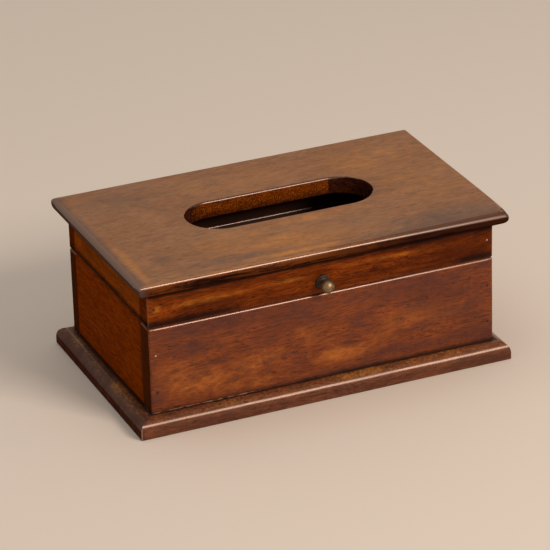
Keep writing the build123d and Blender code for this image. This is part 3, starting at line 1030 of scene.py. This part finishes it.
def wall_wood(context, along, seed, part):
    """Reddish clouded wood of the front and back, and plainer wood of the sides."""
    finishes = context.scene.tissue_box_finishes
    long_board = along == "X"
    if long_board:
        colours = (finishes.wall_light, finishes.wall_dark, finishes.wall_cool)
    else:
        colours = (finishes.side_light, finishes.side_dark, finishes.side_dark)
    finish, tone = wood(
        "wall_wood_long" if long_board else "wall_wood_short",
        colours,
        finishes,
        part,
        along=along,
        seed=seed,
        gloss=(finishes.wall_gloss, 1.0) if long_board else (0.0, 0.15),
        flow=0.5,
        figure=(0.25, 0.2, 0.3, 0.6) if long_board else (0.25, 0.15, 0.2, 0.3),
    )
    x, y, z = finish.axes
    low_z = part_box("front_board")[0].z
    # darker at the foot of the walls, more so towards the right
    foot = finish.span(z, low_z + 0.4 * MM, low_z + 3.4 * MM, 1.0, 0.0)
    if part == "edge":
        dulled = finish.times(finish.rough, finish.span(x, 20 * MM, 120 * MM, 1.0, 1.6))
        finish.shade("Roughness", dulled)
    if long_board:
        tone = finish.blend(spots(finish, FRONT_PALE), tone, finishes.wall_pale)
        tone = finish.blend(spots(finish, FRONT_COOL), tone, finishes.wall_cool)
        # curl across the grain, towards the right
        ripple = finish.grains(RIPPLE, detail=1.0, distortion=0.6)
        curl = finish.times(finish.span(x, -20 * MM, 60 * MM), 0.3)
        shade = finish.maths("MULTIPLY_ADD", finish.less(ripple, 0.5), curl, 1.0)
        tone = finish.blend(1.0, tone, finish.grey(shade), mode="MULTIPLY")
        foot = finish.times(foot, finish.span(x, -40 * MM, 30 * MM, 0.6, 1.0))
    if part == "end":
        tone = finish.blend(0.8, tone, finishes.end_grain)
    elif not long_board:
        tone = darken_where(finish, tone, finish.span(y, -62 * MM, -54 * MM, 0.7, 0.0), finishes.end_grain, 0.6)
    tone = darken_where(finish, tone, foot, finishes.stain, 0.8)
    if long_board:
        # a pale line along the foot's left part: chipped lacquer and a painted highlight on its lower edge
        line = finish.span(z, low_z + 0.9 * MM, low_z + 0.4 * MM)
        chips = finish.grains((7 * MM, 7 * MM, MM), detail=3.0)
        line = finish.times(line, finish.span(chips, 0.45, 0.6))
        line = finish.times(line, finish.span(x, -45 * MM, -60 * MM, 0.0, 0.8))
        tone = finish.blend(line, tone, finishes.flake_glint)
    return finished(finish, stained_inside(finish, tone, finishes))


def stained_inside(finish, tone, finishes):
    """Gives the faces inside the box their dark stain."""
    x, y, _ = finish.axes
    low, high = opening_box("tissue_space")
    inside = None
    for axis, start, end in ((x, low.x, high.x), (y, low.y, high.y)):
        for side in (
            finish.span(axis, start - 1.6 * MM, start - 1.2 * MM),
            finish.span(axis, end + 1.2 * MM, end + 1.6 * MM, 1.0, 0.0),
        ):
            inside = side if inside is None else finish.times(inside, side)
    return finish.blend(inside, tone, finishes.inside)


class TISSUE_BOX_OT_rails(bpy.types.Operator):
    """Makes the four rails that frame the lid"""

    bl_idname = "tissue_box.rails"
    bl_label = "Lid rails"

    def execute(self, context):
        four_boards(context, "{}_rail", "lid_{}_rail", "lid", rail_wood, {"X": 5.0, "Y": 6.0})
        return {"FINISHED"}


# dark and rubbed streaks of the front rail; the dark ones along its top and its foot are painted shade under
# the nose and in the seam
RAIL_DARK_AND_SHADE = millimetres(
    ((-104, -75, 80), (38, 9, 6), 0.95),
    ((-30, -75, 80), (40, 9, 4), 0.60),
    ((40, -75, 86), (52, 9, 6), 0.70),
    ((80, -75, 80), (60, 9, 4), 0.65),
    ((114, -75, 81), (18, 9, 5), 0.95),
    ((64, -75, 99), (70, 9, 3), 0.75),
    ((-70, -75, 99), (50, 9, 3), 0.60),
    ((-4, -75, 90), (10, 9, 8), 0.60),
    ((-84, -75, 85), (44, 9, 5), 0.45),
)
RAIL_PALE = millimetres(
    ((-123, -75, 91), (4, 9, 3), 0.80),
    ((-84, -75, 91), (34, 9, 3), 0.35),
    ((-30, -75, 92), (24, 9, 2), 0.25),
    ((50, -75, 94.5), (44, 9, 1.6), 0.25),
)


def rail_wood(context, along, seed, part):
    """Orange-brown wood of the rails, with bold flowing streaks."""
    finishes = context.scene.tissue_box_finishes
    finish, tone = wood(
        f"rail_wood_{'long' if along == 'X' else 'short'}",
        (finishes.rail_light, finishes.rail_dark, finishes.rail_dark),
        finishes,
        part,
        along=along,
        seed=seed,
        gloss=(finishes.rail_gloss, 0.5) if along == "X" else (0.0, 0.15),
        flow=0.8,
        figure=(0.2, 0.7, 0.2, 0.3),
    )
    low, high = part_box("lid_front_rail")
    x, _, z = finish.axes
    if along == "X":
        tone = finish.blend(spots(finish, RAIL_PALE), tone, finishes.golden)
        tone = finish.blend(spots(finish, RAIL_DARK_AND_SHADE), tone, finishes.rail_dark)
        to_right = finish.times(ragged(finish, finish.span(x, 30 * MM, 110 * MM)), 0.55)
        tone = finish.blend(to_right, tone, finishes.rail_dark)
    else:
        tone = finish.blend(0.22, tone, finishes.wall_pale)
    if part == "end":
        tone = finish.blend(0.4, tone, finishes.end_grain)
    # painted shade under the top board and in the seam, taller at both ends
    top = finish.span(z, high.z - 2.6 * MM, high.z - 0.4 * MM)
    seam_shade = finish.span(z, low.z + 0.3 * MM, low.z + 1.6 * MM, 0.8, 0.0)
    ends = finish.most(finish.span(x, -50 * MM, -75 * MM), finish.span(x, 95 * MM, 108 * MM))
    seam_gap_shade = finish.times(ends, finish.span(z, low.z + 2.5 * MM, low.z + 7.5 * MM, 0.9, 0.0))
    seam_shade = finish.most(seam_shade, seam_gap_shade)
    tone = darken_where(finish, tone, finish.most(top, seam_shade), finishes.stain, 0.85)
    return finished(finish, stained_inside(finish, tone, finishes))


class TISSUE_BOX_OT_base_board(bpy.types.Operator):
    """Makes the base board, rounded above all round"""

    bl_idname = "tissue_box.base_board"
    bl_label = "Base board"

    def execute(self, context):
        shapes = context.scene.tissue_box_shapes
        woods = [base_wood(context, part) for part in PARTS]
        dressed_board("base", "base_board", "box", woods, "X", shapes)
        return {"FINISHED"}


def base_wood(context, part):
    """Very dark wood of the base, rubbed golden above, darker by the walls, with painted shade on its left
    side.
    """
    finishes = context.scene.tissue_box_finishes
    wall_low, wall_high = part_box("front_board")
    top = wall_low.z
    finish, tone = wood(
        "base_wood",
        (finishes.base_light, finishes.base_dark, finishes.base_dark),
        finishes,
        part,
        seed=2.0,
        gloss=(finishes.base_gloss, 0.5),
        figure=(0.4, 0.2, 0.3, 0.5),
    )
    x, y, z = finish.axes
    # how far a place is past the walls
    past_x = finish.less(finish.maths("ABSOLUTE", x), wall_high.x)
    past_y = finish.less(finish.maths("ABSOLUTE", y), -wall_low.y)
    past = finish.most(past_x, past_y)
    near_wall = finish.span(past, 0.4 * MM, 3.2 * MM, 1.0, 0.0)
    upper = finish.span(z, top - 3.5 * MM, top - 0.8 * MM)
    # golden flecks above
    flecks = finish.grains(2.2 * MM, detail=5.0, roughness=0.75)
    broad = finish.grains(30 * MM, detail=2.0)
    flecked = finish.plus(finish.times(flecks, 0.6), finish.times(broad, 0.4))
    golden = finish.times(upper, finish.span(flecked, 0.47, 0.66, 0.0, 0.6))
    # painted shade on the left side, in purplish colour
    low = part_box("base_board")[0]
    left = finish.span(finish.less(past_x, past_y), -1 * MM, 1 * MM)
    left = finish.times(left, finish.span(x, -100 * MM, -110 * MM, 0.0, 0.65))
    tone = finish.blend(ragged(finish, left), tone, finishes.base_left_shade)
    tone = finish.blend(golden, tone, finishes.golden)
    # a pale line up the front left corner below its round: a painted highlight on the rounded upright edge,
    # with chipped lacquer
    off_mitre = finish.less(finish.less(x, low.x), finish.less(y, low.y))
    corner_glint = finish.span(finish.maths("ABSOLUTE", off_mitre), 1.1 * MM, 0.2 * MM)
    corner_glint = finish.times(corner_glint, finish.span(z, top - 3 * MM, top - 6 * MM, 0.0, 0.5))
    corner_glint = finish.times(corner_glint, finish.span(x, low.x + 11 * MM, low.x + 7 * MM))
    tone = finish.blend(corner_glint, tone, finishes.flake_glint)
    tone = darken_where(finish, tone, near_wall, finishes.stain, 0.95)
    return finished(finish, tone)


# ---- metal ----


def metal(name, bright, dark, patches, roughness, bright_share=0.5):
    """Metal with dark patina, rubbed bright in patches."""
    finish = Finish(name)
    cloud = finish.grains(patches, detail=4.0, roughness=0.6)
    rubbed = finish.span(cloud, 0.62 - 0.35 * bright_share, 0.75 - 0.3 * bright_share)
    finish.shade("Base Color", finish.blend(rubbed, dark, bright))
    finish.shade("Roughness", finish.span(rubbed, 0.0, 1.0, roughness * 1.5, roughness))
    finish.shade("Metallic", 1.0)
    dents = finish.plus(finish.times(finish.grains(0.35 * MM, detail=2.0), 0.3), cloud)
    finish.shade("Normal", finish.bump(dents, 0.3, 0.15 * MM))
    return finish.material


def islands(node):
    """The separate solids in a CAD node: the corners of each one's box, and its points."""
    bm = merged_copy(node)
    left = set(bm.verts)
    found = []
    while left:
        front = [left.pop()]
        island = []
        while front:
            vert = front.pop()
            island.append(vert.co.copy())
            for edge in vert.link_edges:
                other = edge.other_vert(vert)
                if other in left:
                    left.remove(other)
                    front.append(other)
        low = Vector(min(co[i] for co in island) for i in range(3))
        high = Vector(max(co[i] for co in island) for i in range(3))
        found.append((low, high, island))
    bm.free()
    return sorted(found, key=lambda entry: tuple(entry[0]))


def head_places(node):
    """Of each fastener in a CAD node: its head's place and facing, its length and its head's radius."""
    places = []
    for low, high, island in islands(node):
        size = high - low
        axis = max(range(3), key=lambda i: size[i])
        middle = (low + high) / 2
        wide_low = spread(island, axis, low[axis], middle)
        wide_high = spread(island, axis, high[axis], middle)
        facing = Vector((0.0, 0.0, 0.0))
        facing[axis] = -1.0 if wide_low > wide_high else 1.0
        head = middle.copy()
        head[axis] = low[axis] if facing[axis] < 0 else high[axis]
        places.append((head, facing, size[axis], max(wide_low, wide_high)))
    return places


def spread(island, axis, level, middle):
    """The widest reach from the middle line of a solid's points at one level."""
    reach = 0.0
    for co in island:
        if abs(co[axis] - level) < 0.05 * MM:
            off = co - middle
            off[axis] = 0.0
            reach = max(reach, off.length)
    return reach


# a dome's upper radius, and the length and height of the blade that saws a slot, as shares of the
# head's radius and height
DOME_TOP = 0.72
SAW_REACH = 2.4
SAW_DEPTH = 0.9


def fastener_shape(slotted):
    """A tree that puts a pin or a countersunk screw at each point, turned to face its way."""
    sizes = ("Head radius", "Neck radius", "Head height", "Dome height", "Length", "Sunk", "Slot width")
    inputs = {"Seed": "NodeSocketInt", "Sides": "NodeSocketInt", **dict.fromkeys(sizes, "NodeSocketFloat")}
    shape = Shape("slotted screws" if slotted else "panel pins", **inputs)
    given = shape.given
    head = shape.cone(given["Head radius"], given["Neck radius"], given["Head height"])
    head = shape.raised(head, shape.times(given["Head height"], -1.0))
    dome = shape.cone(shape.times(given["Head radius"], DOME_TOP), given["Head radius"], given["Dome height"])
    shank = shape.node(
        "GeometryNodeMeshCylinder",
        {"Vertices": given["Sides"], "Radius": given["Neck radius"], "Depth": given["Length"]},
    )
    shank = shape.raised(shank.outputs["Mesh"], shape.times(given["Length"], -0.5))
    solids = [head, dome, shank]
    one = slotted_solid(shape, solids) if slotted else shape.joined("GeometryNodeJoinGeometry", 0, solids)
    one = shape.raised(one, shape.times(given["Sunk"], -1.0))
    placed = shape.node(
        "GeometryNodeInstanceOnPoints",
        {"Points": given["Geometry"], "Instance": one, "Rotation": facing_with_spin(shape)},
    )
    shape.close(placed.outputs[0])
    return shape


def slotted_solid(shape, solids):
    """One solid made of several, with a slot sawn across its head."""
    given = shape.given
    reach, depth = shape.times(given["Head radius"], SAW_REACH), shape.times(given["Head height"], SAW_DEPTH)
    blade_size = shape.vector(reach, given["Slot width"], depth)
    blade = shape.node("GeometryNodeMeshCube", {"Size": blade_size}).outputs["Mesh"]
    one = shape.joined("GeometryNodeMeshBoolean", "Mesh 2", solids, operation="UNION", solver="EXACT")
    sawn = shape.node("GeometryNodeMeshBoolean", {"Mesh 1": one, "Mesh 2": blade}, solver="EXACT")
    return sawn.outputs["Mesh"]


def facing_with_spin(shape):
    """The turn that faces each point's own way, with a random spin about it."""
    facing = shape.node("GeometryNodeInputNamedAttribute", {"Name": "facing"}, data_type="FLOAT_VECTOR")
    along = {"Vector": facing.outputs["Attribute"]}
    upright = shape.node("FunctionNodeAlignRotationToVector", along, axis="Z")
    spin = shape.node("FunctionNodeRandomValue", {"Seed": shape.given["Seed"]}, data_type="FLOAT")
    shape.put(next(s for s in spin.inputs if s.name == "Max" and s.type == "VALUE"), 2 * pi)
    about = shape.vector(z=next(s for s in spin.outputs if s.type == "VALUE"))
    turn = shape.node("FunctionNodeEulerToRotation", {0: about}).outputs[0]
    inputs = {"Rotation": upright.outputs[0], "Rotate By": turn}
    return shape.node("FunctionNodeRotateRotation", inputs, rotation_space="LOCAL").outputs[0]


def place_mesh(name, places):
    """Loose points with the direction that each faces."""
    mesh = bpy.data.meshes.new(name)
    mesh.from_pydata([head for head, *_ in places], [], [])
    attribute = mesh.attributes.new("facing", "FLOAT_VECTOR", "POINT")
    for i, (_, facing, *_) in enumerate(places):
        attribute.data[i].vector = facing
    return mesh


class TISSUE_BOX_OT_pins(bpy.types.Operator):
    """Makes the panel pins that hold the boards together"""

    bl_idname = "tissue_box.pins"
    bl_label = "Panel pins"

    def execute(self, context):
        shapes = context.scene.tissue_box_shapes
        finishes = context.scene.tissue_box_finishes
        steel = pin_metal(finishes)
        shape = fastener_shape(slotted=False)
        for node, name, body in (("box_pins", "wall_pins", "box"), ("lid_pins", "rail_pins", "lid")):
            places = head_places(node)
            sizes = {
                "Seed": 1,
                "Sides": 20,
                "Head radius": places[0][3],
                "Neck radius": 0.7 * MM,
                "Head height": 0.6 * MM,
                "Dome height": 0.12 * MM,
                "Length": places[0][2] - 0.5 * MM,
                "Sunk": shapes.pin_depth,
            }
            piece = shape.make(name, place_mesh(node, places), steel, **sizes)
            hang(piece, body, "steel", node)
        return {"FINISHED"}


# middles of the pin heads that show bare metal, painted pale pink to stand in for a glint
BARE_GLINT_PINS = millimetres(
    ((-125.4, -75.5, 56.7), (0.9, 4.0, 0.9), 2.0),
    ((125.4, -75.5, 91.4), (0.8, 4.0, 0.8), 1.5),
)


def pin_metal(finishes):
    """Pin heads stained over with the wood, bare steel in the middle of a few, painted pale as a glint."""
    finish = Finish("pin_metal")
    finish.mottle = finish.grains(0.8 * MM, detail=3.0)
    bare = spots(finish, BARE_GLINT_PINS)
    stained = finish.blend(finish.mottle, finishes.stain, finishes.wall_cool)
    finish.shade("Base Color", finish.blend(bare, stained, finishes.pin_bare_glint))
    finish.shade("Roughness", finish.span(bare, 0.0, 1.0, 0.5, 0.3))
    finish.shade("Specular IOR Level", 0.3)
    finish.shade("Normal", finish.bump(finish.mottle, 0.3, 0.1 * MM))
    return finish.material


class TISSUE_BOX_OT_screws(bpy.types.Operator):
    """Makes the slotted screws of the hinges, the base and the knob"""

    bl_idname = "tissue_box.screws"
    bl_label = "Screws"

    def execute(self, context):
        finishes = context.scene.tissue_box_finishes
        brass = metal("screw_brass", finishes.brass, finishes.patina, 4 * MM, 0.32, 0.7)
        steel = metal("screw_steel", finishes.steel, finishes.patina, 4 * MM, 0.35, 0.7)
        shape = fastener_shape(slotted=True)
        rows = (
            ("hinge_box_screws", "box_hinge_screws", "box", brass, "brass", 1.1 * MM),
            ("hinge_lid_screws", "lid_hinge_screws", "lid", brass, "brass", 1.1 * MM),
            ("base_screws", "base_fixing_screws", "box", steel, "steel", 1.75 * MM),
            ("knob_screw", "knob_fixing_screw", "lid", steel, "steel", 1.5 * MM),
        )
        for seed, (node, name, body, material, slot_name, neck) in enumerate(rows):
            places = head_places(node)
            head = places[0][3]
            sizes = {
                "Seed": seed + 3,
                "Sides": 28,
                "Head radius": head,
                "Neck radius": neck,
                "Head height": head - neck,
                "Dome height": 0.02 * MM,
                "Length": places[0][2] - 0.3 * MM,
                "Sunk": 0.06 * MM,
                "Slot width": head * 0.24,
            }
            piece = shape.make(name, place_mesh(node, places), material, **sizes)
            hang(piece, body, slot_name, node)
        return {"FINISHED"}


class TISSUE_BOX_OT_hinges(bpy.types.Operator):
    """Finishes the hinge leaves and pins in dull brass"""

    bl_idname = "tissue_box.hinges"
    bl_label = "Hinges"

    def execute(self, context):
        finishes = context.scene.tissue_box_finishes
        brass = metal("hinge_brass", finishes.brass, finishes.patina, 7 * MM, 0.34, 0.75)
        for side in ("left", "right"):
            for part in ("box_leaf", "lid_leaf", "pin"):
                node = frame["nodes"][f"{side}_hinge_{part}"]
                for place in node.material_slots:
                    place.material = brass
        return {"FINISHED"}


# the knob's outline from the rail outwards: depths of the flange, with how much less than its widest
# its radius is there, then depths and radii of the neck, then the ball's radius, the turn at which
# the ball leaves the neck, and its steps
KNOB_FLANGE = [
    (0.0, 0.5 * MM),
    (0.12 * MM, 0.15 * MM),
    (0.5 * MM, 0.0),
    (0.9 * MM, 0.06 * MM),
    (1.25 * MM, 0.45 * MM),
    (1.4 * MM, 1.2 * MM),
]
KNOB_NECK = [(1.55 * MM, 3.4 * MM), (1.9 * MM, 2.8 * MM), (2.5 * MM, 2.5 * MM), (3.2 * MM, 2.55 * MM)]
KNOB_BALL = 5.1 * MM
KNOB_BALL_FIRST = 0.807 * pi
KNOB_BALL_STEPS = 32
# places along the turned outline
KNOB_STEPS = 120


class TISSUE_BOX_OT_knob(bpy.types.Operator):
    """Turns the ball knob with its flange"""

    bl_idname = "tissue_box.knob"
    bl_label = "Knob"

    def execute(self, context):
        shapes = context.scene.tissue_box_shapes
        low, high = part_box("knob")
        axis = Vector(((low.x + high.x) / 2, high.y, (low.z + high.z) / 2))
        flange = (high.x - low.x) / 2
        reach = high.y - low.y
        mesh = bpy.data.meshes.new("knob_profile")
        outline = [Vector((radius, 0.0, depth)) for depth, radius in self.outline(flange, reach)]
        mesh.from_pydata(outline, [(i, i + 1) for i in range(len(outline) - 1)], [])
        brass = knob_brass(context, axis, reach)
        sizes = {"Sides": shapes.knob_sides, "Steps": KNOB_STEPS, "Place": tuple(axis)}
        piece = self.turned_shape().make("ball_knob", mesh, brass, **sizes)
        hang(piece, "lid", "antique_brass", "knob")
        return {"FINISHED"}

    def outline(self, flange, reach):
        """Depth from the rail and radius: the flange, the neck and the ball, ended on the axis."""
        points = [(0.0, 0.0)]
        points += [(depth, flange - inset) for depth, inset in KNOB_FLANGE]
        points += KNOB_NECK
        for i in range(KNOB_BALL_STEPS + 1):
            turn = KNOB_BALL_FIRST * (1 - i / KNOB_BALL_STEPS)
            points.append((reach - KNOB_BALL + KNOB_BALL * cos(turn), KNOB_BALL * sin(turn)))
        return points

    def turned_shape(self):
        """A tree that turns an outline about the axis, facing the front."""
        shape = Shape("turned knob", Sides="NodeSocketInt", Steps="NodeSocketInt", Place="NodeSocketVector")
        given = shape.given
        curve = shape.node("GeometryNodeMeshToCurve", {"Mesh": given["Geometry"]})
        grid = shape.node(
            "GeometryNodeMeshGrid",
            {"Size X": 1.0, "Size Y": 1.0, "Vertices X": given["Sides"], "Vertices Y": given["Steps"]},
        )
        position = shape.node("GeometryNodeInputPosition")
        parts = shape.parts(position.outputs[0])
        turn = shape.times(shape.plus(parts[0], 0.5), 2 * pi)
        sample = shape.node(
            "GeometryNodeSampleCurve",
            {"Curves": curve.outputs[0], "Factor": shape.plus(parts[1], 0.5)},
            mode="FACTOR",
            use_all_curves=True,
        )
        radius, _, depth = shape.parts(sample.outputs["Position"])
        across = shape.times(radius, shape.maths("COSINE", turn))
        up = shape.times(radius, shape.maths("SINE", turn))
        turned = shape.vector(across, shape.times(depth, -1.0), up)
        placing = {"Geometry": grid.outputs["Mesh"], "Position": shape.moved(turned, given["Place"])}
        surface = shape.node("GeometryNodeSetPosition", placing)
        merging = {"Geometry": surface.outputs[0], "Distance": 0.004 * MM}
        closed = shape.node("GeometryNodeMergeByDistance", merging)
        smooth = shape.node("GeometryNodeSetShadeSmooth", {"Geometry": closed.outputs[0]})
        shape.close(smooth.outputs[0])
        return shape


def knob_brass(context, axis, reach):
    """Antique brass: a flange and neck dark with patina and painted shade, and a ball that hands have rubbed
    brighter.
    """
    finishes = context.scene.tissue_box_finishes
    finish = Finish("antique_brass")
    _, y, _ = finish.axes
    cloud = finish.grains(2.6 * MM, detail=4.0, roughness=0.65)
    front = finish.span(y, axis.y - reach + 7.5 * MM, axis.y - reach + 9.4 * MM, 1.0, 0.0)
    rubbed = finish.times(front, finish.span(cloud, 0.3, 0.62, 0.45, 1.0))
    tone = finish.blend(rubbed, finishes.knob_dark_shade, finishes.knob)
    finish.shade("Base Color", tone)
    finish.shade("Roughness", finish.span(rubbed, 0.0, 1.0, 0.5, 0.4))
    finish.shade("Metallic", 0.85)
    finish.shade("Normal", finish.bump(cloud, 0.35, 0.12 * MM))
    return finish.material


# ---- stage ----


# place, size and tint of each lamp, and the point that both face
KEY_LAMP = ((0.95, -2.05, 1.53), (0.95, 0.8), (1.0, 0.88, 0.77))
FILL_LAMP = ((-0.3, 0.2, 2.4), (2.0, 2.0), (1.0, 0.97, 0.94))
LAMPS_AIM = Vector((0.0, 0.0, 0.06))
# how far the floor reaches each way from its middle
FLOOR_REACH = 6.0


class TISSUE_BOX_OT_stage(bpy.types.Operator):
    """Sets up the floor, the lamps and the camera"""

    bl_idname = "tissue_box.stage"
    bl_label = "Stage"

    def execute(self, context):
        stage = context.scene.tissue_box_stage
        context.scene.view_settings.view_transform = "Standard"
        self.add_camera(context, stage)
        self.add_floor(stage)
        self.add_lamp("key", *KEY_LAMP, stage.key_power)
        self.add_lamp("fill", *FILL_LAMP, stage.fill_power)
        self.add_world(context, stage)
        return {"FINISHED"}

    def add_camera(self, context, stage):
        """A long lens at the photograph's viewing angle."""
        yaw, pitch, roll = stage.camera_yaw, stage.camera_pitch, stage.camera_roll
        forward = Vector((sin(yaw) * cos(pitch), cos(yaw) * cos(pitch), sin(pitch)))
        level = Vector((cos(yaw), -sin(yaw), 0.0))
        above = level.cross(forward)
        right = level * cos(roll) + above * sin(roll)
        up = above * cos(roll) - level * sin(roll)
        data = bpy.data.cameras.new("camera")
        data.lens = stage.camera_lens
        data.sensor_width = 36.0
        data.clip_end = 50.0
        camera = bpy.data.objects.new("camera", data)
        turn = Matrix((right, up, -forward)).transposed().to_4x4()
        camera.matrix_world = Matrix.Translation(stage.camera_place) @ turn
        context.scene.collection.objects.link(camera)
        context.scene.camera = camera

    def add_floor(self, stage):
        """A wide pale floor."""
        bm = bmesh.new()
        bmesh.ops.create_grid(bm, x_segments=1, y_segments=1, size=FLOOR_REACH)
        mesh = bpy.data.meshes.new("floor")
        bm.to_mesh(mesh)
        bm.free()
        finish = Finish("floor")
        finish.shade("Base Color", opaque(stage.floor_colour))
        finish.shade("Roughness", 0.8)
        finish.shade("Specular IOR Level", 0.2)
        floor = new_piece("floor", mesh, finish.material)

    def add_lamp(self, name, place, size, tint, watts):
        """A soft rectangular lamp that faces the box."""
        data = bpy.data.lights.new(name, "AREA")
        data.shape = "RECTANGLE"
        data.size, data.size_y = size
        data.energy = watts
        data.color = tint
        lamp = bpy.data.objects.new(name, data)
        lamp.location = place
        aim = LAMPS_AIM - Vector(place)
        lamp.rotation_euler = aim.to_track_quat("-Z", "Y").to_euler()
        bpy.context.scene.collection.objects.link(lamp)

    def add_world(self, context, stage):
        """Even light from all round, with the backdrop where it is seen or mirrored."""
        world = bpy.data.worlds.new("backdrop")
        world.use_nodes = True
        context.scene.world = world
        nodes, links = world.node_tree.nodes, world.node_tree.links
        nodes.clear()
        path = nodes.new("ShaderNodeLightPath").outputs
        seen = path["Is Camera Ray"]
        for other in ("Is Glossy Ray", "Is Transmission Ray"):
            either = nodes.new("ShaderNodeMath")
            either.operation = "MAXIMUM"
            links.new(seen, either.inputs[0])
            links.new(path[other], either.inputs[1])
            seen = either.outputs[0]
        around = nodes.new("ShaderNodeBackground")
        around.inputs["Color"].default_value = opaque((1.0, 0.96, 0.92))
        around.inputs["Strength"].default_value = stage.ambient
        behind = nodes.new("ShaderNodeBackground")
        behind.inputs["Color"].default_value = opaque(stage.backdrop_colour)
        choice = nodes.new("ShaderNodeMixShader")
        links.new(seen, choice.inputs["Fac"])
        links.new(around.outputs[0], choice.inputs[1])
        links.new(behind.outputs[0], choice.inputs[2])
        links.new(choice.outputs[0], nodes.new("ShaderNodeOutputWorld").inputs["Surface"])


# ---- panel and registration ----


PIECES = (
    TISSUE_BOX_OT_base_board,
    TISSUE_BOX_OT_walls,
    TISSUE_BOX_OT_rails,
    TISSUE_BOX_OT_top_board,
    TISSUE_BOX_OT_pins,
    TISSUE_BOX_OT_screws,
    TISSUE_BOX_OT_hinges,
    TISSUE_BOX_OT_knob,
    TISSUE_BOX_OT_stage,
)
SETTINGS = {
    "tissue_box_finishes": TissueBoxFinishes,
    "tissue_box_shapes": TissueBoxShapes,
    "tissue_box_stage": TissueBoxStage,
}


class TISSUE_BOX_PT_panel(bpy.types.Panel):
    """Lists the settings and the pieces of the tissue box"""

    bl_idname = "TISSUE_BOX_PT_panel"
    bl_label = "Tissue box"
    bl_space_type = "VIEW_3D"
    bl_region_type = "UI"
    bl_category = "Tissue box"

    def draw(self, context):
        for group, settings in SETTINGS.items():
            box = self.layout.box()
            for name in settings.__annotations__:
                box.prop(getattr(context.scene, group), name)
        for piece in PIECES:
            self.layout.operator(piece.bl_idname)


def register():
    """Adds the settings, the pieces and the panel."""
    for kind in (*SETTINGS.values(), *PIECES, TISSUE_BOX_PT_panel):
        bpy.utils.register_class(kind)
    for group, settings in SETTINGS.items():
        setattr(bpy.types.Scene, group, PointerProperty(type=settings))


def unregister():
    """Takes the settings, the pieces and the panel out again."""
    for group in SETTINGS:
        delattr(bpy.types.Scene, group)
    for kind in reversed((*SETTINGS.values(), *PIECES, TISSUE_BOX_PT_panel)):
        bpy.utils.unregister_class(kind)


def main():
    """Registers the add-on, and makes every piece."""
    register()
    for piece in PIECES:
        name = piece.bl_idname.split(".")[1]
        getattr(bpy.ops.tissue_box, name)()


if __name__ == "__main__":
    main()
